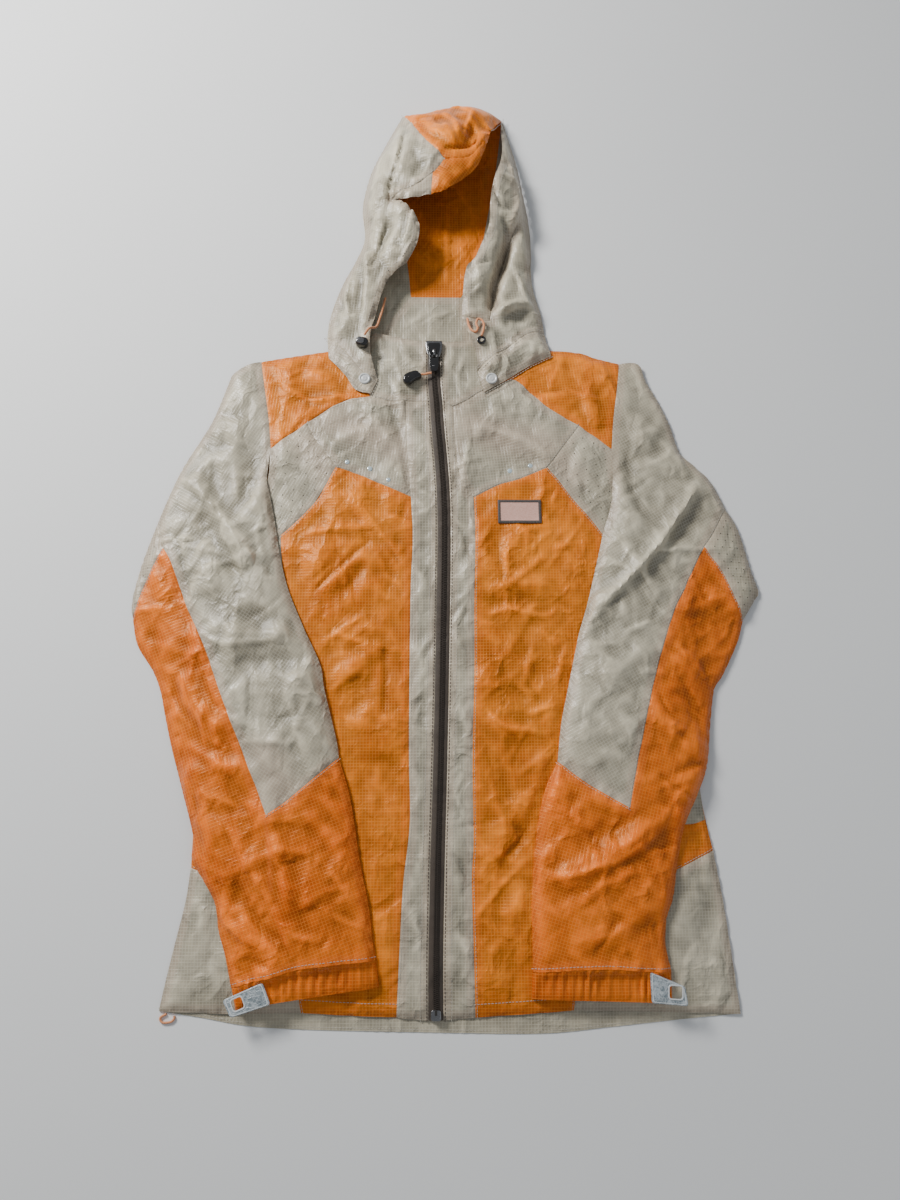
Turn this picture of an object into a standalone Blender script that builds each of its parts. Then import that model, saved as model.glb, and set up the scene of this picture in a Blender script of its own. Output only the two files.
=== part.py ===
"""A hooded windbreaker lying zipped up on its back, sleeves folded down over its sides.

The zip runs along Y with the hood towards +Y, the floor is z = 0, and left and right are as seen
from the front. Sizes and places are in millimetres until place() turns them into metres.

Every cloth piece is a sheet with a wall of CLOTH. Its outline is a loop of named seam curves, which
neighbours share, and its height comes from laying the layers on each other in turn: the pieces on
the floor, the fronts, the under sleeves, the upper sleeves, the cuffs, and the hood.
"""

import math

import bmesh
import bpy
import numpy as np
from mathutils import Vector
from mathutils.geometry import delaunay_2d_cdt

MM = 0.001

# Driving sizes
CLOTH = 1.2  # wall of every sheet
SEAM = 0.3  # between two pieces along a seam
REST = CLOTH / 2  # height of the middle of a sheet that lies on the floor
LAYER = CLOTH + 0.9  # between the middles of two sheets that lie on each other
BODY_LOFT, BODY_LOFT_WIDTH = 4.5, 22.0  # air under the fronts, gained over this width from a free edge
BODY_PUFF, BODY_PUFF_WIDTH = 3.5, 70.0  # more air, gained towards the middle
SLEEVE_LOFT, SLEEVE_LOFT_WIDTH = 5.0, 12.0
SLEEVE_PUFF, SLEEVE_PUFF_WIDTH = 5.5, 45.0
ARMHOLE_BLEND = 40.0  # a sleeve comes down to the front's height over this width
CUFF_DEPTH = 8.0
ZIP_WIDTH = 13.7
ZIP_THICK = 2.2
SLIDER_THICK = 3.2
ARCH_WIDTH = 3.0  # the slider's arch, which the pull hangs on
ARCH_LENGTH = 9.0
ARCH_HEIGHT = 4.6
ARCH_WALL = 1.4
PULL_Y = 212.0  # distance of the pull's hinge up the zip line
TAB_THICK = 1.6
TAB_RISE = 0.8  # the tab's underside over the slider's face
TAB_BAR = 2.0  # the bar at the tab's end, which turns in the arch's eye
ZIP_BOX = 3.4
TOGGLE_THICK = 7.5
SNAP, SNAP_THICK = 13.0, 1.8
CORD_LOCK = 7.0
EYELET, EYELET_HOLE, EYELET_THICK = 10.0, 3.8, 1.2
LOOP_CORD = 2.0  # the cord of the loop at the hem
CORD = 2.6
FINE = 19.0  # spacing of the points of a sheet that shows
COARSE = 34.0  # and of one that is hidden

PATCH_X = (67.0, 113.0)  # the chest patch, across and along
PATCH_Y = (16.0, 42.0)
PATCH_THICK = 1.2

CUFF_TAB_THICK = 1.5
CUFF_TABS = {  # corners of the stiff tab on each cuff; its slot's centre, width, length and turn
    "l": (((-160, -431), (-196, -446), (-188, -461), (-152, -450)), ((-182, -449), 10, 10, 22)),
    "r": (((200, -426), (200, -453), (234, -456), (232, -439)), ((223, -444), 12, 11, -4)),
}

MATERIALS = {  # colour, roughness, metallic
    "orange": ((0.60, 0.19, 0.035), 0.5, 0.0),
    "beige": ((0.47, 0.44, 0.37), 0.5, 0.0),
    "zip": ((0.05, 0.04, 0.035), 0.5, 0.0),
    "black": ((0.02, 0.02, 0.022), 0.25, 0.0),
    "pale": ((0.75, 0.76, 0.76), 0.4, 0.0),
    "silver": ((0.55, 0.62, 0.66), 0.4, 0.0),
    "cord": ((0.72, 0.36, 0.20), 0.7, 0.0),
    "patch": ((0.60, 0.40, 0.34), 0.6, 0.0),
}

# Seams, folded edges and hems: each name holds the points that its curve passes through.
CURVES = {
    "zip_low": (
        (0, -469), (0, -415), (2, -325), (5, -229), (8, -108), (10, 0), (9, 60), (4, 125), (2, 156),
    ),
    "zip_top": ((2, 156), (0, 183), (0, 228)),
    # left front
    "placket_l": (
        (-25, 46), (-23, 0), (-25, -60), (-26, -170), (-26, -230), (-25, -290), (-31, -345),
        (-34, -400), (-37, -466),
    ),
    "placket_top_l": ((-25, 46), (-29, 100), (-31, 156)),
    "yoke_low_l": ((-105, 79), (-80, 70), (-53, 58), (-25, 46)),
    "vent_seam_l": ((-138, 130), (-125, 106), (-112, 89), (-105, 79)),
    "vent_low_l": ((-105, 79), (-122, 46), (-137, 26), (-161, 3)),
    "vent_side_l": ((-161, 3), (-200, -28), (-239, -48)),
    "shoulder_low_l": ((-70, 162), (-92, 158), (-111, 149), (-129, 136), (-138, 130)),
    "shoulder_end_l": ((-138, 130), (-155, 117), (-175, 100)),
    "shoulder_top_l": ((-191, 206), (-159, 212), (-118, 219), (-84, 223)),
    "neck_side_l": ((-84, 223), (-80, 192), (-70, 162)),
    "neck_l": ((-70, 162), (-56, 158), (-43, 156), (-31, 156)),
    "neck_front_l": ((-31, 156), (-5, 156)),
    "armhole_l": ((-191, 206), (-185, 171), (-179, 135), (-175, 100)),
    "armhole_low_l": ((-175, 100), (-178, 60), (-196, 20), (-226, -8), (-238, -14)),
    "side_vent_l": ((-238, -14), (-239, -48)),
    "side_top_l": ((-239, -48), (-239, -150), (-236, -284)),
    "side_tail_l": ((-236, -284), (-236, -330)),
    "side_low_l": ((-236, -330), (-239, -360), (-246, -395), (-253, -430), (-258, -458)),
    "tail_top_l": ((-236, -284), (-214, -288), (-180, -276), (-158, -240), (-150, -150), (-161, 3)),
    "tail_low_l": ((-236, -330), (-200, -345), (-160, -375), (-135, -420), (-126, -461)),
    "hem_front_l": ((-37, -466), (-80, -464), (-126, -461)),
    "hem_side_l": ((-126, -461), (-190, -461), (-258, -458)),
    "hem_placket_l": ((-7, -469), (-22, -468), (-37, -466)),
    # right front
    "placket_r": (
        (42, 46), (43, 0), (41, -66), (40, -140), (37, -229), (37, -306), (35, -343), (36, -410),
        (37, -467),
    ),
    "placket_top_r": ((42, 46), (29, 62), (23, 105), (21, 150)),
    "yoke_low_r": ((121, 79), (92, 66), (70, 60), (42, 46)),
    "vent_seam_r": ((158, 128), (142, 107), (128, 87), (121, 79)),
    "vent_low_r": ((121, 79), (135, 61), (150, 40), (166, 21), (178, 4)),
    "vent_side_r": ((178, 4), (212, -26), (255, -48)),
    "shoulder_low_r": ((72, 178), (87, 184), (100, 174), (111, 162), (127, 148), (158, 128)),
    "shoulder_end_r": ((158, 128), (172, 117), (192, 101)),
    "shoulder_top_r": ((207, 206), (180, 213), (158, 220), (92, 224)),
    "neck_side_r": ((92, 224), (84, 204), (72, 178)),
    "neck_r": ((72, 178), (50, 167), (34, 156), (21, 150)),
    "neck_front_r": ((21, 150), (9, 156)),
    "armhole_r": ((207, 206), (202, 173), (196, 137), (192, 101)),
    "armhole_low_r": ((192, 101), (195, 60), (212, 20), (240, -8), (254, -14)),
    "side_vent_r": ((254, -14), (255, -48)),
    "side_top_r": ((255, -48), (258, -150), (264, -255), (267, -289)),
    "side_tail_r": ((267, -289), (273, -318)),
    "side_low_r": ((273, -318), (279, -364), (284, -419), (288, -467)),
    "tail_top_r": ((267, -289), (248, -293), (205, -288), (176, -250), (170, -150), (178, 4)),
    "tail_low_r": ((273, -318), (235, -335), (190, -352), (152, -385), (134, -425), (130, -462)),
    "hem_front_r": ((37, -467), (98, -464), (130, -462)),
    "hem_side_r": ((130, -462), (205, -464), (288, -467)),
    "hem_placket_r": ((7, -469), (22, -468), (37, -467)),
    # back
    "hem_back": (
        (-258, -458), (-220, -464), (-154, -474), (4, -480), (100, -482), (166, -477), (235, -471),
        (288, -467),
    ),
    "facing_top": ((-252, -430), (-154, -444), (4, -450), (100, -452), (166, -447), (285, -430)),
    "back_side_l": ((-238, -14), (-239, -150), (-236, -330), (-245, -392), (-252, -430)),
    "back_side_r": ((254, -14), (258, -150), (264, -255), (273, -318), (280, -375), (285, -430)),
    "facing_side_l": ((-252, -430), (-258, -458)),
    "facing_side_r": ((285, -430), (288, -467)),
    "neck_out_l": ((-84, 223), (-62, 226)),
    "back_neck": ((-62, 226), (-30, 222), (6, 219), (42, 222)),
    "neck_out_r": ((42, 222), (72, 225), (92, 224)),
    # collar
    "collar_top_l": ((-7, 228), (-24, 230), (-46, 236), (-66, 240)),
    "collar_side_l": ((-66, 240), (-78, 222), (-76, 192), (-70, 162)),
    "collar_top_r": ((7, 228), (28, 229), (46, 233), (58, 232)),
    "collar_side_r": ((58, 232), (66, 215), (70, 196), (72, 178)),
    # left sleeve
    "sleeve_cap_l": ((-191, 206), (-207, 200), (-222, 190)),
    "sleeve_out_l": ((-222, 190), (-239, 138), (-253, 110), (-270, 78), (-283, 44), (-291, 20)),
    "sleeve_elbow_l": ((-291, 20), (-304, -24), (-312, -66), (-310, -84)),
    "sleeve_fore_l": (
        (-310, -84), (-303, -112), (-286, -138), (-277, -158), (-270, -185), (-261, -218),
        (-248, -257), (-234, -300),
        (-234, -322), (-222, -340), (-209, -362), (-204, -387), (-197, -408), (-190, -437),
    ),
    "sleeve_in_l": (
        (-175, 100), (-178, 67), (-174, 48), (-168, 20), (-163, -8), (-157, -35), (-149, -61),
        (-133, -98),
    ),
    "sleeve_in_mid_l": ((-133, -98), (-116, -134), (-111, -159), (-98, -209), (-95, -227)),
    "sleeve_in_low_l": ((-95, -227), (-83, -267), (-73, -324), (-64, -365), (-60, -396), (-57, -414)),
    "tip_out_l": ((-282, -11), (-290, -29), (-299, -50), (-310, -84)),
    "tip_top_l": ((-282, -11), (-288, 6), (-291, 20)),
    "tip_in_l": (
        (-282, -11), (-272, -27), (-254, -72), (-233, -113), (-216, -154), (-193, -209),
        (-172, -257), (-162, -281),
    ),
    "sleeve_v_l": ((-162, -281), (-146, -270), (-123, -251), (-95, -227)),
    "cuff_top_l": ((-190, -437), (-172, -431), (-157, -428), (-127, -420), (-90, -416), (-57, -414)),
    "under_gap_l": ((-238, -14), (-241, -52)),
    "under_in_l": ((-241, -52), (-222, -84), (-185, -104), (-133, -98)),
    "cuff_low_l": ((-186, -458), (-153, -451), (-126, -447), (-89, -442), (-53, -438)),
    # right sleeve
    "sleeve_cap_r": ((207, 206), (225, 206), (231, 201)),
    "sleeve_out_r": (
        (231, 201), (235, 186), (247, 162), (259, 132), (268, 100), (286, 82), (300, 65), (313, 36),
    ),
    "sleeve_elbow_r": ((313, 36), (325, 11), (335, -33), (341, -56), (336, -66), (322, -87)),
    "sleeve_fore_r": (
        (322, -87), (314, -111), (296, -145), (286, -160), (279, -196), (272, -236), (259, -265),
        (244, -294),
        (235, -325), (228, -360), (220, -380), (218, -405), (222, -427),
    ),
    "sleeve_in_r": ((192, 101), (191, 70), (188, 38), (178, 6), (172, -18), (159, -67), (147, -105)),
    "sleeve_in_mid_r": ((147, -105), (134, -160), (126, -195), (121, -232)),
    "sleeve_in_low_r": ((121, -232), (108, -259), (99, -297), (94, -335), (92, -380), (91, -426)),
    "tip_top_r": ((284, -10), (294, 4), (313, 36)),
    "tip_out_r": ((284, -10), (293, -23), (303, -39), (310, -58), (322, -87)),
    "tip_in_r": (
        (284, -10), (276, -24), (258, -58), (246, -80), (229, -125), (212, -181), (199, -231),
        (188, -277),
    ),
    "sleeve_v_r": ((188, -277), (162, -262), (143, -250), (121, -232)),
    "cuff_out_l": ((-190, -437), (-186, -458)),
    "cuff_in_l": ((-53, -438), (-57, -414)),
    "cuff_out_r": ((222, -427), (222, -455)),
    "cuff_in_r": ((90, -450), (91, -426)),
    "zip_foot": ((-7, -469), (7, -469)),
    "zip_head": ((-7, 228), (7, 228)),
    "cuff_top_r": ((222, -427), (200, -426), (155, -423), (91, -426)),
    "under_gap_r": ((254, -14), (258, -52)),
    "under_in_r": ((258, -52), (240, -84), (200, -110), (147, -105)),
    "cuff_low_r": ((222, -455), (200, -454), (153, -452), (90, -450)),
    # hood, upper layer
    "hood_out_l": (
        (-119, 236), (-116, 262), (-104, 300), (-89, 332), (-79, 362), (-82, 402), (-73, 448),
        (-57, 486), (-36, 530),
    ),
    "hood_top": ((-36, 530), (-16, 530), (4, 537), (30, 543), (56, 541), (82, 525)),
    "hood_out_r": (
        (124, 243), (121, 266), (113, 298), (111, 325), (112, 345), (110, 385), (104, 425),
        (97, 466), (82, 525),
    ),
    "crown_seam_l": ((-36, 530), (-26, 502), (-17, 480), (-4, 455), (13, 434)),
    "crown_seam_r": ((82, 525), (74, 506), (66, 488)),
    "brim_crease": ((13, 434), (35, 438), (48, 450), (66, 488)),
    "brim_crease_l": ((-47, 394), (-32, 401), (-15, 408), (-1, 418)),
    "brim_crease_m": ((-1, 418), (13, 434)),
    "brim_seam": ((-1, 418), (-3, 394)),
    "brim_edge_l": ((-47, 394), (-28, 391), (-3, 394)),
    "brim_edge_r": ((-3, 394), (14, 398), (32, 414), (50, 434), (62, 470), (66, 488)),
    "face_l": (
        (-47, 394), (-34, 388), (-26, 378), (-18, 364), (-16, 352), (-20, 336), (-30, 318),
        (-49, 303), (-57, 286),
        (-64, 262), (-70, 236), (-70, 212), (-62, 181),
    ),
    "tab_end_l": ((-62, 181), (-69, 164)),
    "tab_low_l": ((-69, 164), (-86, 169), (-97, 186), (-116, 208)),
    "base_out_l": ((-116, 208), (-119, 236)),
    "band_seam_l": ((-62, 181), (-78, 190), (-96, 212), (-119, 236)),
    "face_r": (
        (80, 504), (80, 470), (76, 445), (68, 418), (64, 390), (62, 362), (52, 338), (46, 323),
        (37, 314), (33, 290), (31, 256),
    ),
    "face_top_r": ((82, 525), (80, 504)),
    "tunnel_seam": (
        (82, 525), (89, 480), (95, 432), (98, 385), (86, 350), (76, 318), (68, 288), (62, 250),
    ),
    "tunnel_end": ((31, 256), (46, 252), (62, 250)),
    "base_in_r": ((31, 256), (39, 230), (46, 212), (48, 192)),
    "band_seam_r": ((48, 192), (72, 212), (89, 224), (104, 237), (124, 243)),
    "base_out_r": ((124, 243), (130, 212)),
    "tab_low_r": ((130, 212), (105, 199), (83, 184), (54, 166)),
    "tab_end_r": ((54, 166), (48, 192)),
    # hood, layer on the floor
    "lining_l": ((-26, 289), (-30, 330), (-40, 400), (-42, 460), (-36, 530)),
    "lining_r": ((31, 289), (50, 330), (64, 400), (74, 460), (82, 525)),
    "lining_low": ((-26, 289), (31, 289)),
    "collar_back_l": ((-62, 226), (-58, 242), (-44, 266), (-26, 289)),
    "collar_back_r": ((31, 289), (38, 262), (42, 222)),
    "hood_floor_l": ((-117, 225), (-84, 229), (-62, 226)),
    "hood_floor_r": ((42, 222), (72, 231), (92, 230), (127, 227)),
    "hood_floor_out_l": ((-119, 236), (-117, 225)),
    "hood_floor_out_r": ((127, 227), (124, 243)),
}
for side, shift in (("l", -ZIP_WIDTH / 2 - SEAM / 2), ("r", ZIP_WIDTH / 2 + SEAM / 2)):
    for stretch in ("low", "top"):
        CURVES[f"zip_{stretch}_{side}"] = tuple((x + shift, y) for x, y in CURVES[f"zip_{stretch}"])

# Edges that aren't sewn to a neighbour, where a sheet comes down onto the sheet beneath it
FREE = {
    "front": [f"{edge}_{s}" for s in "lr" for edge in (
        "shoulder_top", "side_vent", "side_top", "side_tail", "side_low",
        "hem_front", "hem_side", "hem_placket")],
    "sleeve": [f"{edge}_{s}" for s in "lr" for edge in (
        "sleeve_cap", "sleeve_out", "sleeve_elbow", "sleeve_fore", "cuff_out",
        "sleeve_in", "sleeve_in_mid", "sleeve_in_low", "cuff_in")],
    "hood": ["hood_out_l", "hood_top", "hood_out_r"]
    + [f"{edge}_{s}" for s in "lr" for edge in ("base_out", "tab_low", "tab_end")],
}

# Cloth pieces: layer, material, spacing of points, and the seam curves round it, each one's end on
# the next one's start. A minus sign runs a curve backwards.
PIECES = {
    "back_panel": (
        "floor", "orange", COARSE,
        "shoulder_top_l neck_out_l back_neck neck_out_r -shoulder_top_r armhole_r armhole_low_r "
        "back_side_r -facing_top -back_side_l -armhole_low_l -armhole_l"),
    "back_facing": ("floor", "beige", COARSE, "facing_top facing_side_r -hem_back -facing_side_l"),
    "collar_back": ("floor", "beige", FINE, "back_neck -collar_back_r -lining_low -collar_back_l"),
    "hood_back": ("floor", "orange", FINE, "lining_low lining_r -hood_top -lining_l"),
    "hood_back_l": (
        "floor", "beige", COARSE, "collar_back_l lining_l -hood_out_l hood_floor_out_l hood_floor_l"),
    "hood_back_r": (
        "floor", "beige", COARSE, "hood_floor_r hood_floor_out_r hood_out_r -lining_r collar_back_r"),
    "zip_tape": ("front", "zip", FINE, "zip_low_l zip_top_l zip_head -zip_top_r -zip_low_r -zip_foot"),
    "crown": ("hood", "orange", FINE, "hood_top crown_seam_r -brim_crease -crown_seam_l"),
    "brim_r": ("hood", "orange", FINE, "brim_crease_m brim_crease -brim_edge_r -brim_seam"),
    "brim_l": ("hood", "beige", FINE, "brim_crease_l brim_seam -brim_edge_l"),
    "hood_side_l": (
        "hood", "beige", FINE,
        "hood_out_l crown_seam_l -brim_crease_m -brim_crease_l face_l band_seam_l"),
    "hood_side_r": ("hood", "beige", FINE, "-tunnel_seam -hood_out_r -band_seam_r -base_in_r tunnel_end"),
    "face_tunnel_r": ("hood", "beige", FINE, "face_top_r face_r tunnel_end -tunnel_seam"),
    "neck_band_l": ("hood", "beige", FINE, "tab_end_l tab_low_l base_out_l -band_seam_l"),
    "neck_band_r": ("hood", "beige", FINE, "band_seam_r base_out_r tab_low_r tab_end_r"),
}
PAIRS = {  # the pieces that lie on both sides; the names of their curves end in _l or _r
    "placket": ("front", "beige", FINE, "zip_low -neck_front -placket_top placket -hem_placket"),
    "yoke": ("front", "beige", FINE, "placket_top -neck shoulder_low vent_seam yoke_low"),
    "shoulder": ("front", "orange", FINE, "shoulder_top neck_side shoulder_low shoulder_end -armhole"),
    "chest_vent": (
        "front", "beige", FINE, "-vent_seam shoulder_end armhole_low side_vent -vent_side -vent_low"),
    "front": (
        "front", "orange", FINE, "yoke_low placket hem_front -tail_low -side_tail tail_top -vent_low"),
    "side_upper": ("front", "beige", COARSE, "vent_side side_top tail_top"),
    "side_lower": ("front", "beige", FINE, "side_low -hem_side -tail_low"),
    "collar": ("front", "beige", FINE, "zip_top collar_top collar_side neck neck_front"),
    "sleeve_under": (
        "under", "orange", COARSE,
        "armhole armhole_low under_gap under_in sleeve_in_mid sleeve_in_low "
        "-cuff_top -sleeve_fore -sleeve_elbow -sleeve_out -sleeve_cap"),
    "sleeve": (
        "sleeve", "beige", FINE,
        "armhole sleeve_in sleeve_in_mid -sleeve_v -tip_in tip_top -sleeve_out -sleeve_cap"),
    "elbow_vent": ("sleeve", "beige", FINE, "-tip_top tip_out -sleeve_elbow"),
    "forearm": (
        "sleeve", "orange", FINE, "tip_in sleeve_v sleeve_in_low -cuff_top -sleeve_fore -tip_out"),
}
for side in "lr":
    for name, (layer, stuff, spacing, curves) in PAIRS.items():
        around = " ".join(f"{curve}_{side}" for curve in curves.split())
        PIECES[f"{name}_{side}"] = (layer, stuff, spacing, around)

# The largest folds: layer, half width, height (a trough is negative), and the line along its middle
FOLDS = (
    ("sleeve", 14, 3.0, ((-262, 75), (-231, 31), (-203, -8), (-178, -45))),
    ("sleeve", 16, -2.5, ((-241, 20), (-214, -24), (-190, -56))),
    ("sleeve", 14, 2.5, ((-221, 9), (-243, -24), (-259, -45))),
    ("sleeve", 22, 3.0, ((-228, -110), (-203, -106), (-137, -104))),
    ("sleeve", 26, -2.5, ((-215, -134), (-137, -129))),
    ("sleeve", 16, -3.5, ((-269, -149), (-249, -184), (-218, -213), (-190, -233))),
    ("sleeve", 16, 3.5, ((-259, -136), (-229, -184), (-198, -204))),
    ("sleeve", 14, 2.5, ((-242, -228), (-225, -266), (-206, -314))),
    ("sleeve", 18, -2.5, ((-210, -228), (-191, -267), (-168, -305))),
    ("sleeve", 12, 3.0, ((-159, -286), (-145, -332), (-136, -378))),
    ("sleeve", 14, -3.0, ((-197, -337), (-166, -378), (-135, -405))),
    ("sleeve", 14, 2.5, ((-132, -272), (-97, -305), (-82, -342))),
    ("sleeve", 14, 3.5, ((291, 73), (273, 43), (238, -2), (212, -35), (171, -72), (158, -88))),
    ("sleeve", 18, -2.5, ((272, 21), (237, -24), (201, -65))),
    ("sleeve", 12, 3.0, ((208, 106), (224, 115), (255, 125))),
    ("sleeve", 14, -2.5, ((208, 97), (229, 95), (260, 103))),
    ("sleeve", 16, 2.5, ((190, -2), (215, -40), (242, -78))),
    ("sleeve", 24, -2.5, ((155, -117), (211, -101), (242, -80))),
    ("sleeve", 20, 2.5, ((167, -160), (199, -130), (221, -109))),
    ("sleeve", 14, 3.0, ((247, -79), (276, -72), (306, -58))),
    ("sleeve", 18, -2.5, ((239, -135), (259, -171), (264, -205))),
    ("sleeve", 16, 3.5, ((105, -344), (149, -333), (200, -300), (235, -278))),
    ("sleeve", 18, -3.0, ((121, -311), (161, -302), (201, -284))),
    ("sleeve", 14, 2.5, ((141, -405), (171, -390), (206, -368))),
    ("front", 16, 3.0, ((-129, -66), (-93, -34), (-70, -1))),
    ("front", 16, -2.0, ((-116, -66), (-88, -50), (-76, -23))),
    ("front", 12, 2.5, ((-58, 10), (-42, -14), (-29, -42))),
    ("front", 16, 2.0, ((-106, -159), (-76, -129), (-41, -108))),
    ("front", 18, 2.0, ((-85, -209), (-60, -184), (-30, -204))),
    ("front", 18, -2.0, ((-79, -239), (-50, -229), (-30, -244))),
    ("front", 18, 2.5, ((47, -55), (89, -50), (131, -53))),
    ("front", 18, -2.0, ((47, -70), (89, -67), (125, -70))),
    ("front", 14, 3.0, ((50, -172), (65, -198), (110, -205))),
    ("front", 12, 2.5, ((112, -205), (126, -175), (138, -150))),
    ("front", 12, 2.5, ((105, -215), (106, -249), (93, -278))),
    ("front", 18, 2.5, ((43, -334), (68, -292), (94, -254))),
    ("front", 18, -2.5, ((57, -344), (82, -307), (103, -274))),
    ("front", 18, 2.5, ((48, -420), (76, -371), (91, -335))),
    ("front", 14, 2.0, ((-107, 109), (-70, 123), (-50, 114))),
    ("front", 14, 2.0, ((72, 124), (104, 101), (136, 84))),
    ("front", 14, 2.5, ((165, 184), (171, 148), (184, 120))),
    ("front", 14, 2.0, ((-148, 200), (-120, 180), (-100, 170))),
    ("hood", 14, 4.0, ((-35, 500), (-34, 459), (-42, 413))),
    ("hood", 14, -4.0, ((-25, 451), (-16, 431), (-27, 412))),
    ("hood", 14, 4.0, ((7, 494), (16, 472), (28, 448))),
    ("hood", 14, -4.0, ((48, 495), (37, 465), (32, 448))),
    ("hood", 14, 4.0, ((-64, 434), (-66, 387), (-63, 355))),
    ("hood", 14, -4.0, ((-50, 381), (-52, 355), (-60, 336))),
    ("hood", 16, 4.0, ((-38, 368), (-48, 336), (-62, 304))),
    ("hood", 14, -3.0, ((-76, 318), (-80, 287), (-91, 255))),
    ("hood", 12, -8.0, ((99, 379), (84, 347), (75, 315), (67, 287), (62, 254))),
    ("hood", 12, 4.0, ((66, 250), (79, 263), (93, 274), (108, 275))),
    ("hood", 12, 3.0, ((41, 320), (49, 310), (47, 273))),
)
FOLD_END = 22.0  # a fold dies out over this length

# Height of the hood's upper layer in its middle, over the floor layer, at each distance up the zip line
HOOD_LOFT = ((150, 3), (200, 6), (240, 14), (290, 21), (340, 29), (390, 41), (440, 45), (490, 42), (545, 34))
HOOD_ROUND = 25.0  # how far from its folded edge the hood comes to most of that height

EDGE_REACH = 8.0  # a sheet bridges the step at an edge beneath it over this width
SEWN_WIDTH = 6.0  # along an armhole the under sleeve lies at the front's own height, over this width

# A plan grid for the heights
GRID = 4.0
GRID_X = np.arange(-340.0, 372.0, GRID)
GRID_Y = np.arange(-500.0, 564.0, GRID)
PLAN = np.meshgrid(GRID_X, GRID_Y)


def smooth(points, step=15.0):
    """Points about step apart along a smooth curve through the given ones."""
    p = np.array(points, float)
    p = np.vstack([2 * p[0] - p[1], p, 2 * p[-1] - p[-2]])
    out = []
    for a, b, c, d in zip(p, p[1:], p[2:], p[3:]):
        count = max(1, round(float(np.linalg.norm(c - b)) / step))
        square, cube = 2 * a - 5 * b + 4 * c - d, 3 * b - a - 3 * c + d
        for t in np.arange(count) / count:
            out.append(0.5 * (2 * b + (c - a) * t + square * t**2 + cube * t**3))
    return np.array(out + [p[-2]])


SAMPLED = {name: smooth(points) for name, points in CURVES.items()}


def outline(names):
    """The closed loop of the named curves, counterclockwise."""
    points = []
    for name in names.split():
        curve = SAMPLED[name.lstrip("-")]
        points.extend((curve[::-1] if name[0] == "-" else curve)[:-1])
    points = np.array(points)
    x, y = points.T
    area = np.sum(x * np.roll(y, -1) - np.roll(x, -1) * y)
    return points if area > 0 else points[::-1]


def inside(x, y, loop):
    """Whether each place lies inside the loop."""
    odd = np.zeros(np.shape(x), bool)
    for (ax, ay), (bx, by) in zip(loop, np.roll(loop, -1, axis=0)):
        if ay != by:
            odd ^= ((ay > y) != (by > y)) & (x < (bx - ax) * (y - ay) / (by - ay) + ax)
    return odd


def nearest(x, y, line):
    """Distance from each place to a line of points, and how far along the line that is."""
    best = np.full(np.shape(x), 1e9)
    along = np.zeros(np.shape(x))
    run = 0.0
    for (ax, ay), (bx, by) in zip(line, line[1:]):
        length = math.hypot(bx - ax, by - ay)
        t = np.clip(((x - ax) * (bx - ax) + (y - ay) * (by - ay)) / length**2, 0, 1)
        gap = np.hypot(x - ax - t * (bx - ax), y - ay - t * (by - ay))
        along = np.where(gap < best, run + t * length, along)
        best = np.minimum(best, gap)
        run += length
    return best, along, run


def to_free_edge(x, y, layer):
    return np.min([nearest(x, y, SAMPLED[name])[0] for name in FREE[layer]], axis=0)


def ease(t):
    t = np.clip(t, 0, 1)
    return t * t * (3 - 2 * t)


def folds(x, y, layer):
    total = np.zeros(np.shape(x))
    for where, half, height, line in FOLDS:
        if where == layer:
            gap, along, run = nearest(x, y, smooth(line))
            ends = ease(along / FOLD_END) * ease((run - along) / FOLD_END)
            total += height * ends * (1 - ease(gap / half))
    return total


def spread(values, reach):
    """The highest value within reach of each place."""
    out = values.copy()
    for _ in range(round(reach / GRID)):
        for axis in (0, 1):
            for shift in (1, -1):
                out = np.maximum(out, np.roll(out, shift, axis))
    return out


def soften(values, rounds):
    for _ in range(rounds):
        for axis in (0, 1):
            values = (np.roll(values, 1, axis) + 2 * values + np.roll(values, -1, axis)) / 4
    return values


def drape(below):
    """Height of the middle of a cloth laid over middles at these heights (0 is the bare floor)."""
    need = np.where(below > 0, below + LAYER, REST)
    return np.maximum(soften(spread(need, EDGE_REACH), 4), need)


def read(grid, x, y):
    """A plan grid's value at each place."""
    u = np.clip((np.asarray(x) - GRID_X[0]) / GRID, 0, len(GRID_X) - 1.001)
    v = np.clip((np.asarray(y) - GRID_Y[0]) / GRID, 0, len(GRID_Y) - 1.001)
    i, j = u.astype(int), v.astype(int)
    u, v = u - i, v - j
    low = grid[j, i] * (1 - u) + grid[j, i + 1] * u
    high = grid[j + 1, i] * (1 - u) + grid[j + 1, i + 1] * u
    return low * (1 - v) + high * v


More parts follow.
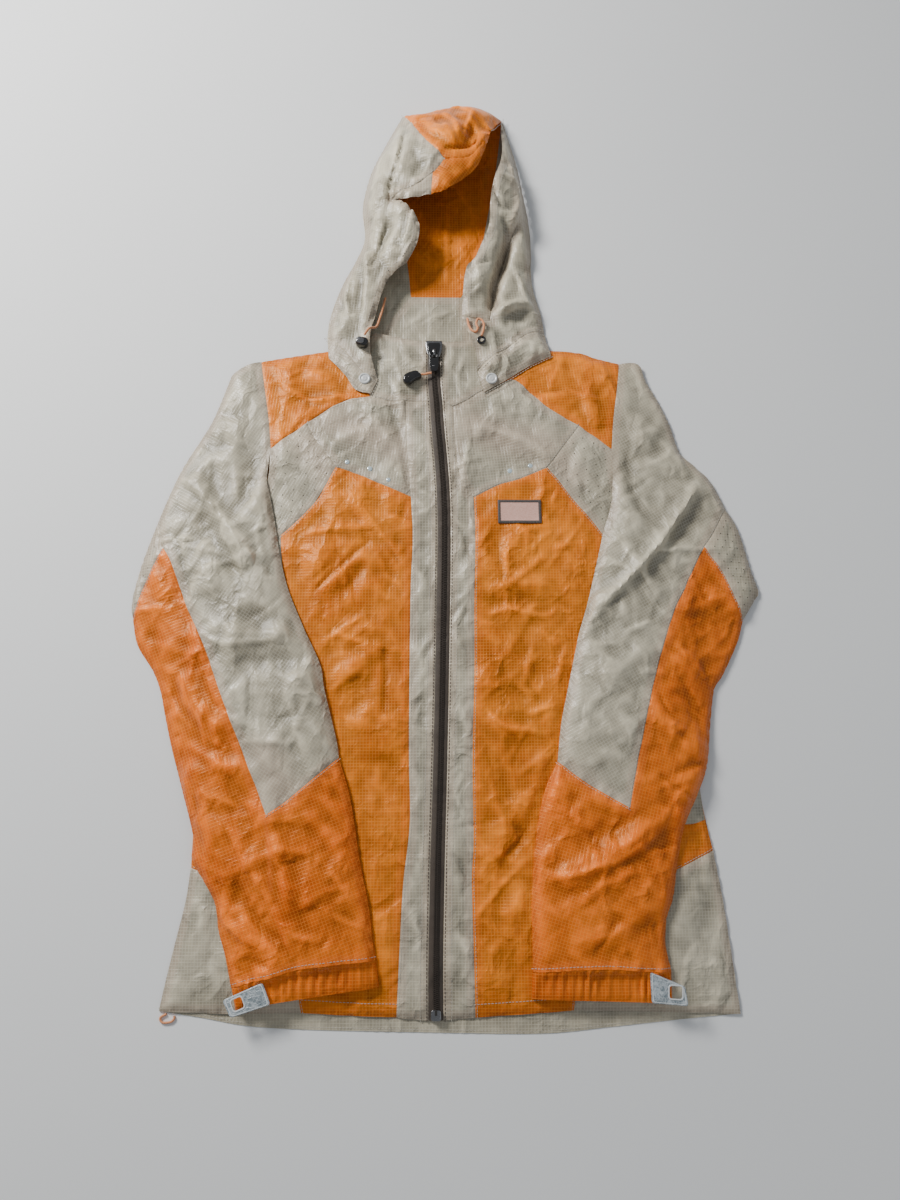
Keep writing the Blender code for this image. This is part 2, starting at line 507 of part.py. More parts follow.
class Layer:
    """The pieces of one layer as one mesh of middle points, which neighbours share along their seams."""

    def __init__(self, name):
        self.index, places, self.pieces = {}, [], {}
        for piece, (layer, _, spacing, names) in PIECES.items():
            if layer == name:
                loop = outline(names)
                points, faces = triangles(loop, spacing)
                ids = []
                for x, y in points:
                    key = (round(x, 1), round(y, 1))
                    if key not in self.index:
                        self.index[key] = len(places)
                        places.append((x, y))
                    ids.append(self.index[key])
                self.pieces[piece] = (np.array(ids)[faces], ids[: len(loop)])
        self.xy = np.array(places)
        self.faces = np.vstack([faces for faces, _ in self.pieces.values()])

    def lay(self, lies, rests):
        """Sets the heights from one plan grid, then raises points until no triangle is below the other."""
        weights = np.array([(i, j, 6 - i - j) for i in range(7) for j in range(7 - i)]) / 6
        spots = np.einsum("sk,fkc->fsc", weights, self.xy[self.faces])
        need = read(rests, spots[..., 0], spots[..., 1])
        self.z = read(lies, *self.xy.T)
        for _ in range(25):
            short = need - self.z[self.faces] @ weights.T
            worst = short.argmax(axis=1)
            gain = weights[worst] / np.sum(weights[worst] ** 2, axis=1, keepdims=True)
            rise = np.zeros(len(self.z))
            np.maximum.at(rise, self.faces, np.maximum(short.max(axis=1), 0)[:, None] * gain)
            self.z += rise

    def heights(self):
        """Its heights on the plan grid, and 0 where it has no cloth."""
        out = np.zeros(PLAN[0].shape)
        for corners in self.faces:
            (ax, ay), (bx, by), (cx, cy) = self.xy[corners]
            i, i_end = (int((edge(ax, bx, cx) - GRID_X[0]) / GRID) for edge in (min, max))
            j, j_end = (int((edge(ay, by, cy) - GRID_Y[0]) / GRID) for edge in (min, max))
            i_end, j_end = i_end + 2, j_end + 2
            x, y = PLAN[0][j:j_end, i:i_end], PLAN[1][j:j_end, i:i_end]
            area = (bx - ax) * (cy - ay) - (cx - ax) * (by - ay)
            b = ((x - ax) * (cy - ay) - (y - ay) * (cx - ax)) / area
            c = ((bx - ax) * (y - ay) - (by - ay) * (x - ax)) / area
            z = self.z[corners] @ np.array([1 - b - c, b, c]).reshape(3, -1)
            z = np.where((b > -1e-6) & (c > -1e-6) & (b + c < 1 + 1e-6), z.reshape(x.shape), 0)
            out[j:j_end, i:i_end] = np.maximum(out[j:j_end, i:i_end], z)
        return out

    def normals(self):
        points = np.column_stack([self.xy, self.z])
        a, b, c = (points[self.faces[:, k]] for k in range(3))
        across = np.cross(b - a, c - a)
        total = np.zeros_like(points)
        for k in range(3):
            np.add.at(total, self.faces[:, k], across)
        return total / np.linalg.norm(total, axis=1, keepdims=True)

    def make_solids(self):
        normals = self.normals()
        for piece, (faces, loop) in self.pieces.items():
            thick = ZIP_THICK if piece == "zip_tape" else CLOTH
            used, local = np.unique(faces, return_inverse=True)
            local = local.reshape(-1, 3)
            middle = np.column_stack([self.xy, self.z])
            ring = middle[loop, :2]
            ahead, behind = np.roll(ring, -1, axis=0) - ring, ring - np.roll(ring, 1, axis=0)
            inward = np.zeros_like(ring)
            for edge in (ahead, behind):
                length = np.linalg.norm(edge, axis=1, keepdims=True)
                inward += np.column_stack([-edge[:, 1], edge[:, 0]]) / length
            inward /= np.maximum(np.sum(inward**2, axis=1, keepdims=True) / 2, 0.1)
            middle[loop, :2] += inward * SEAM / 2
            top = middle[used] + normals[used] * thick / 2
            low = middle[used] - normals[used] * thick / 2
            edge = np.searchsorted(used, loop)
            ahead = np.roll(edge, -1)
            count = len(used)
            walls = [(a + count, b + count, b, a) for a, b in zip(edge, ahead)]
            place(piece, np.vstack([top, low]), [*local, *(local[:, ::-1] + count), *walls], PIECES[piece][1])


def triangles(loop, spacing):
    """Points inside the loop, after those of the loop itself, and the triangles between them."""
    rows = np.arange(loop[:, 1].min(), loop[:, 1].max(), spacing * math.sqrt(0.75))
    columns = np.arange(loop[:, 0].min(), loop[:, 0].max(), spacing)
    x, y = np.meshgrid(columns, rows)
    x = x + np.where(np.arange(len(rows)) % 2, spacing / 2, 0)[:, None]
    gap = nearest(x, y, np.vstack([loop, loop[:1]]))[0]
    kept = inside(x, y, loop) & (gap > spacing * 0.5)
    points = np.vstack([loop, np.column_stack([x[kept], y[kept]])])
    given = [Vector(p) for p in points]
    found, _, faces, origins, _, _ = delaunay_2d_cdt(given, [], [range(len(loop))], 1, 1e-6)
    back = [origin[0] for origin in origins]
    faces = np.array([[back[k] for k in face] for face in faces])
    a, b, c = (points[faces[:, k]] for k in range(3))
    middle = (a + b + c) / 3
    faces = faces[inside(middle[:, 0], middle[:, 1], loop)]
    a, b, c = (points[faces[:, k]] for k in range(3))
    turned = (b - a)[:, 0] * (c - a)[:, 1] - (c - a)[:, 0] * (b - a)[:, 1] < 0
    faces[turned] = faces[turned][:, ::-1]
    return points, faces


def place(name, points, faces, material):
    """One solid from points in millimetres and its faces, turned to face outwards."""
    shape = bmesh.new()
    corners = [shape.verts.new(point) for point in (np.asarray(points) * MM).tolist()]
    for face in faces:
        shape.faces.new([corners[k] for k in face])
    bmesh.ops.recalc_face_normals(shape, faces=shape.faces)
    mesh = bpy.data.meshes.new(name)
    shape.to_mesh(mesh)
    shape.free()
    mesh.materials.append(bpy.data.materials[material])
    mesh.shade_smooth()
    mesh.set_sharp_from_angle(angle=math.radians(50))
    made = bpy.data.objects.new(name, mesh)
    bpy.context.scene.collection.objects.link(made)
    return made


def plate(name, corners, low, thick, material, hole=None):
    """A flat sheet with an outline and perhaps a hole, its underside at one height or at one per point."""
    loops = [corners] if hole is None else [corners, hole]
    points = np.vstack(loops)
    ends = np.cumsum([len(loop) for loop in loops])
    rings = [list(range(end - len(loop), end)) for loop, end in zip(loops, ends)]
    given = [Vector(p) for p in points]
    _, _, faces, origins, _, _ = delaunay_2d_cdt(given, [], rings, 1, 1e-6)
    faces = np.array([[origins[k][0] for k in face] for face in faces])
    middle = points[faces].mean(axis=1)
    kept = inside(*middle.T, points[rings[0]])
    if hole is not None:
        kept &= ~inside(*middle.T, points[rings[1]])
    faces = faces[kept]
    count = len(points)
    low = np.broadcast_to(low, count)
    both = np.vstack([np.column_stack([points, low + thick]), np.column_stack([points, low])])
    walls = [(a, b, b + count, a + count) for ring in rings for a, b in zip(ring, ring[1:] + ring[:1])]
    return place(name, both, [*faces, *(faces + count), *walls], material)


def rounded(centre, across, along, corner, turn=0.0, steps=3):
    """A rectangle with round corners, counterclockwise."""
    points = []
    for quarter, (sx, sy) in enumerate(((1, 1), (-1, 1), (-1, -1), (1, -1))):
        for k in range(steps + 1):
            angle = math.pi / 2 * (quarter + k / steps)
            points.append((sx * (across / 2 - corner) + corner * math.cos(angle),
                           sy * (along / 2 - corner) + corner * math.sin(angle)))
    c, s = math.cos(math.radians(turn)), math.sin(math.radians(turn))
    return [(centre[0] + x * c - y * s, centre[1] + x * s + y * c) for x, y in points]


def material(name, color, roughness, metallic=0.0):
    made = bpy.data.materials.new(name)
    made.use_nodes = True
    shader = made.node_tree.nodes["Principled BSDF"]
    shader.inputs["Base Color"].default_value = (*color, 1)
    shader.inputs["Roughness"].default_value = roughness
    shader.inputs["Metallic"].default_value = metallic


def covers(layer, extra=()):
    """Where on the plan grid the pieces of a layer lie, and any extra loops."""
    loops = [names for where, _, _, names in PIECES.values() if where == layer]
    return np.any([inside(*PLAN, outline(names)) for names in (*loops, *extra)], axis=0)


def lay_the_layers():
    """Lays each layer on those beneath it. Returns the layers, and the grids of where cloth lies."""
    x, y = PLAN
    cuffs = [f"-cuff_top_{s} cuff_out_{s} cuff_low_{s} cuff_in_{s}" for s in "lr"]
    layers = {name: Layer(name) for name in ("floor", "front", "under", "sleeve", "hood")}
    lies = {"floor": np.full(x.shape, REST)}
    layers["floor"].lay(lies["floor"], lies["floor"])

    covered = covers("sleeve") | covers("under", cuffs) | covers("hood")
    bare = 1 - soften(spread(covered.astype(float), EDGE_REACH), 2)
    edge = to_free_edge(x, y, "front")
    loft = BODY_LOFT * (1 - np.exp(-edge / BODY_LOFT_WIDTH))
    loft += BODY_PUFF * (1 - np.exp(-edge / BODY_PUFF_WIDTH))
    lies["front"] = REST + LAYER + loft + folds(x, y, "front") * bare
    layers["front"].lay(lies["front"], np.full(x.shape, REST + LAYER))
    fronts = layers["front"].heights()

    near = spread(covers("under", cuffs).astype(float), GRID) > 0
    seams = [SAMPLED[f"{edge}_{s}"] for edge in ("armhole", "armhole_low") for s in "lr"]
    sewn = np.min([nearest(x, y, seam)[0] for seam in seams], axis=0) < SEWN_WIDTH
    lies["under"] = drape(np.where(near & ~sewn, fronts, 0))
    layers["under"].lay(lies["under"], lies["under"])

    edge = to_free_edge(x, y, "sleeve")
    near = spread(covers("sleeve").astype(float), GRID) > 0
    rest = drape(np.maximum(layers["under"].heights(), np.where(near, fronts, 0)))
    loft = SLEEVE_LOFT * (1 - np.exp(-edge / SLEEVE_LOFT_WIDTH))
    loft += SLEEVE_PUFF * (1 - np.exp(-edge / SLEEVE_PUFF_WIDTH))
    armhole = np.min([nearest(x, y, SAMPLED[f"armhole_{s}"])[0] for s in "lr"], axis=0)
    lifted = rest + loft + folds(x, y, "sleeve")
    lies["sleeve"] = lies["front"] + (lifted - lies["front"]) * ease(armhole / ARMHOLE_BLEND)
    layers["sleeve"].lay(lies["sleeve"], rest * ease(armhole / EDGE_REACH))

    edge = to_free_edge(x, y, "hood")
    rest = drape(np.maximum(np.where(covers("floor"), REST, 0), fronts))
    loft = np.interp(y, *zip(*HOOD_LOFT)) * (1 - np.exp(-edge / HOOD_ROUND))
    lies["hood"] = rest + loft + folds(x, y, "hood") * ease(edge / FOLD_END)
    layers["hood"].lay(lies["hood"], rest)
    return layers, lies


def make_cuff(side, lies):
    """A flattened tube at the end of a sleeve: rings of points from the sleeve to its open end."""
    across = np.linspace(0, 1, 9)
    ends = []
    for name in (f"cuff_top_{side}", f"cuff_low_{side}"):
        curve = SAMPLED[name]
        places = np.linspace(0, 1, len(curve))
        ends.append(np.column_stack([np.interp(across, places, curve[:, k]) for k in (0, 1)]))
    away = (ends[1] - ends[0]) / np.linalg.norm(ends[1] - ends[0], axis=1, keepdims=True)
    rings = {"outer": [], "inner": []}
    for down in (0.0, 0.5, 1.0):
        plan = ends[0] * (1 - down) + ends[1] * down + away * SEAM * (1 - down)
        wide = (plan[-1] - plan[0]) / np.linalg.norm(plan[-1] - plan[0])
        low = read(lies["under"], *plan.T) + SEAM
        high = low + LAYER + (CUFF_DEPTH - LAYER - CLOTH) * np.sqrt(1 - (2 * across - 1) ** 6)
        for wall, grow in (("outer", CLOTH / 2), ("inner", -CLOTH / 2)):
            line = plan.copy()
            line[0] -= wide * (grow - CLOTH / 2)
            line[-1] += wide * (grow - CLOTH / 2)
            under, over = np.column_stack([line, low - grow]), np.column_stack([line, high + grow])
            rings[wall].append(np.vstack([under, over[::-1]]))
    count = 2 * len(across)
    sheets = rings["outer"] + rings["inner"][::-1]
    faces = []
    for row in range(len(sheets)):
        a, b = row * count, (row + 1) % len(sheets) * count
        faces += [(a + k, a + (k + 1) % count, b + (k + 1) % count, b + k) for k in range(count)]
    return place(f"cuff_{side}", np.vstack(sheets), faces, "orange")


def tops_of(layer, thick=CLOTH):
    """Heights of a layer's upper side on the plan grid."""
    middle = layer.heights()
    slope_y, slope_x = np.gradient(middle, GRID)
    steep = np.sqrt(1 + np.minimum(slope_x**2 + slope_y**2, 1))
    return np.where(middle > 0, middle + thick / 2 * steep, 0)


def seat(tops, points):
    """Heights, at the points, of the flat tilted face that lies SEAM over what is inside them."""
    points = np.asarray(points)
    low, high = points.min(axis=0), points.max(axis=0)
    spots = np.linspace(low, high, 9)
    x, y = (values.ravel() for values in np.meshgrid(spots[:, 0], spots[:, 1]))
    heights = read(tops, x, y)
    fit = np.linalg.lstsq(np.column_stack([x, y, np.ones_like(x)]), heights, rcond=None)[0]
    plane = np.column_stack([x, y, np.ones_like(x)]) @ fit
    return np.column_stack([points, np.ones(len(points))]) @ fit + (heights - plane).max() + SEAM


def cord(name, route, width, material):
    """A cord as a tube along a smooth curve through its route."""
    curve = bpy.data.curves.new(name, "CURVE")
    curve.dimensions = "3D"
    curve.bevel_depth = width / 2 * MM
    curve.bevel_resolution = 2
    curve.use_fill_caps = True
    points = smooth(route, 2.2 * width) * MM
    line = curve.splines.new("POLY")
    line.points.add(len(points) - 1)
    for point, place_at in zip(line.points, points):
        point.co = (*place_at, 1)
    curve.materials.append(bpy.data.materials[material])
    made = bpy.data.objects.new(name, curve)
    bpy.context.scene.collection.objects.link(made)
    return made


def box(name, low, high, material):
    """A block between two corners."""
    corners = [(low[0], low[1]), (high[0], low[1]), (high[0], high[1]), (low[0], high[1])]
    return plate(name, corners, low[2], high[2] - low[2], material)


def make_zip(tops):
    """The slider over the tape with the arch that its pull hangs on, and the box at the tape's foot."""
    shield = [(-9, 227), (-10, 222), (-8, 212), (-6, 207), (6, 207), (8, 212), (10, 222), (9, 227)]
    low = seat(tops, shield)
    slider = plate("slider", shield, low, SLIDER_THICK, "black")
    face = float(np.mean(low)) + SLIDER_THICK
    wide, long = ARCH_WIDTH / 2, ARCH_LENGTH / 2
    room = long - ARCH_WALL * 1.6
    top = face + ARCH_HEIGHT
    arch = box("slider_arch", (-wide, PULL_Y - long, face - 1.5), (wide, PULL_Y + long, top), "black")
    eye = box("slider_eye", (-9, PULL_Y - room, face + 0.2), (9, PULL_Y + room, top - ARCH_WALL), "black")
    for made, cutter, kind in ((arch, eye, "DIFFERENCE"), (slider, arch, "UNION")):
        joined = made.modifiers.new(kind.lower(), "BOOLEAN")
        joined.object = cutter
        joined.operation = kind
        cutter.hide_render = True
        cutter.display_type = "WIRE"
    foot = rounded((0, -464), 10, 10, 1.5)
    plate("zip_box", foot, seat(tops, foot), ZIP_BOX, "black")
    return face


def make_pull(face, tops):
    """The pull: a tab whose end bar lies in the slider's arch, a short cord and a toggle."""
    z = face + TAB_RISE
    end = PULL_Y + TAB_BAR / 2
    tab = [(-4, 190), (-2, 189), (2, 189), (4, 190), (5, 196), (5, end), (-5, end), (-5, 196)]
    window = rounded((0, end - TAB_BAR - 3), 5.6, 6, 0.8)
    plate("pull_tab", tab, z, TAB_THICK, "black", window)
    toggle = [(-35, 176), (-33, 185), (-26, 189), (-18, 190), (-13, 183), (-20, 179), (-26, 174)]
    low = float(np.max(seat(tops, toggle)))
    plate("toggle", toggle, low, TOGGLE_THICK, "black")
    route = [(-14.1, 186, low + 4), (-10, 186, low + 4), (-6.5, 187, z), (-3, 187.2, z + 0.4)]
    cord("pull_cord", route, CORD, "cord")


def make_hood_hardware(tops):
    """The snaps on the neck band's tabs, and the hood's cords with what they run into."""
    for side, centre in (("l", (-76, 181)), ("r", (63, 182))):
        ring = rounded(centre, SNAP, SNAP, SNAP / 2 - 0.1, steps=4)
        plate(f"snap_{side}", ring, seat(tops, ring), SNAP_THICK, "pale")
    lock = rounded((-79, 221), 14, 10, 3, turn=-12)
    low = seat(tops, lock)
    plate("cord_lock", lock, low, CORD_LOCK, "black")
    entry = float(low.mean()) + CORD_LOCK / 2
    edge = float(read(tops, -58, 286))
    cord("cord_l", [(-54.5, 282, edge), (-57, 269, edge + 1), (-60, 257, edge + 1), (-64, 245, edge + 2),
                    (-71, 235, entry + 5), (-76.3, 228.2, entry + 3)], CORD, "cord")
    ring = rounded((52, 225), EYELET, EYELET, EYELET / 2 - 0.1)
    hole = rounded((52, 225), EYELET_HOLE, EYELET_HOLE, EYELET_HOLE / 2 - 0.1, steps=2)
    plate("eyelet_r", ring, seat(tops, ring).max(), EYELET_THICK, "black", hole)
    loop = [
        (37, 251), (40, 242), (43, 234), (46.5, 236), (44, 245), (48, 250), (53, 243), (53, 234), (52, 228.5),
    ]
    rises = (0.5, 1, 1, 1.5, 2, 2.5, 2, 2, 2.6)
    heights = [float(read(tops, *at)) + CORD / 2 + rise for at, rise in zip(loop, rises)]
    cord("cord_r", [(*at, z) for at, z in zip(loop, heights)], CORD, "cord")


def make_patch(tops):
    """The patch on the chest follows the front beneath it."""
    across, along = np.linspace(*PATCH_X, 9), np.linspace(*PATCH_Y, 6)
    x, y = (values.ravel() for values in np.meshgrid(across, along))
    low = read(tops, x, y) + SEAM
    count, wide = len(x), len(across)
    cells = [row * wide + k for row in range(len(along) - 1) for k in range(wide - 1)]
    faces = [(k, k + 1, k + wide + 1, k + wide) for k in cells]
    rim = [*range(wide), *range(2 * wide - 1, count, wide), *range(count - 2, count - wide - 1, -1),
           *range(count - 2 * wide, 0, -wide)]
    faces += [tuple(k + count for k in face) for face in faces]
    faces += [(a, b, b + count, a + count) for a, b in zip(rim, rim[1:] + rim[:1])]
    sides = [np.column_stack([x, y, low + PATCH_THICK]), np.column_stack([x, y, low])]
    place("chest_patch", np.vstack(sides), faces, "patch")


def make_cuff_tab(side, corners, slot, lies):
    """A stiff plate lying on the cuff's outer end and past it, with a slot."""
    cuff_top = read(lies["under"], *np.array(corners).T).max() + SEAM + CUFF_DEPTH - CLOTH / 2
    centre, across, along, turn = slot
    hole = rounded(centre, across, along, 2, turn, steps=2)
    plate(f"cuff_tab_{side}", corners, cuff_top + SEAM, CUFF_TAB_THICK, "silver", hole)


def make_hem_loop():
    """A short loop of cord at the left corner of the hem."""
    route = [
        (-251, -460.4), (-256.5, -463.7), (-254.5, -467.7), (-247, -467.5), (-243.5, -464.5), (-244, -462.2),
    ]
    cord("hem_loop", [(x, y, LOOP_CORD / 2 + SEAM) for x, y in route], LOOP_CORD, "cord")


def build():
    for old in list(bpy.data.objects):
        bpy.data.objects.remove(old)
    for name, (color, roughness, metallic) in MATERIALS.items():
        material(name, color, roughness, metallic)
    layers, lies = lay_the_layers()
    for layer in layers.values():
        layer.make_solids()
    fronts = tops_of(layers["front"], ZIP_THICK)
    hoods = tops_of(layers["hood"])
    for side in "lr":
        make_cuff(side, lies)
    make_patch(tops_of(layers["front"]))
    face = make_zip(fronts)
    make_pull(face, fronts)
    make_hood_hardware(np.maximum(hoods, fronts))
    for side, (corners, slot) in CUFF_TABS.items():
        make_cuff_tab(side, corners, slot, lies)
    make_hem_loop()


build()
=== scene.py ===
"""The looks of a hooded windbreaker that lies zipped up on its back, sleeves folded over its sides.

Left and right are as seen from the front, +Y runs up the zip to the hood, and z = 0 is the floor. The
garment's own sizes are in millimetres, and placed() turns them into metres. Heights of cloth are those of
the middle of its thickness.
"""

import math

import bmesh
import bpy
import numpy as np
from mathutils import Matrix, Vector
from mathutils.geometry import delaunay_2d_cdt


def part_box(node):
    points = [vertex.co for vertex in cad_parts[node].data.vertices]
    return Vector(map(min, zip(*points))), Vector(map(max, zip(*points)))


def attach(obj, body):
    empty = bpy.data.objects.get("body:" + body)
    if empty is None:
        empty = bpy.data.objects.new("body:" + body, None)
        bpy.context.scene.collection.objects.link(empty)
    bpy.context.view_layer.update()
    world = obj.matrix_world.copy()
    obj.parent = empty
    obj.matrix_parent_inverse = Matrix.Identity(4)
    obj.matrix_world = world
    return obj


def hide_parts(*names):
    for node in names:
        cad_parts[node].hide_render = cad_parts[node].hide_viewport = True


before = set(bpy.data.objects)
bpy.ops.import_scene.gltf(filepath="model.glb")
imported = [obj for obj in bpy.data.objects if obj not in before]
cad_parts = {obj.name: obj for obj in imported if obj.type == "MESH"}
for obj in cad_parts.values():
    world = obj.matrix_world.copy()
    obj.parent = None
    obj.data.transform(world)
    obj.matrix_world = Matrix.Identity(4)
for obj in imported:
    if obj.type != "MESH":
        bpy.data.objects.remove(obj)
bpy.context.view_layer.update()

MM = 0.001

# The cloth as it is drawn
WALL = 0.5  # thickness
LOWEST = 0.02  # no point of a cloth lies lower
FLOOR_CLOTH = 0.35  # height of a cloth that lies on the floor
TOUCH = 0.8  # between two cloths where their edges lie on each other
ROLL = 7.0  # width over which a folded edge turns over
SEAM_DIP = 0.55  # a seam's line is drawn in by this much
RING = 1.4  # first row of points inside an edge
FACE_ROLL, COLLAR_ROLL = 4.5, 2.5  # depth to which the turned edges round the face and collar roll under
FINE = 2.9  # spacing of the points of a cloth that shows
COARSE = 9.0  # and of one that lies beneath

# The solids' sizes, whose heights the cloth keeps to
CLOTH = 1.2  # a solid sheet's thickness
SEAM = 0.3  # gap between neighbouring sheets
LAYER = CLOTH + 0.9  # from one sheet to the next above it
SWELL = {"front": ((4.5, 22.0), (3.5, 70.0)), "sleeve": ((5.0, 12.0), (5.5, 45.0))}  # heights and widths
ARMHOLE_BLEND = 40.0  # the sleeve comes up from the body over this width
CUFF_DEPTH = 8.0
ZIP_WIDTH = 13.7
CORD, HEM_CORD = 2.6, 2.0
PULL_Y = 212.0  # the hinge's place up the zip

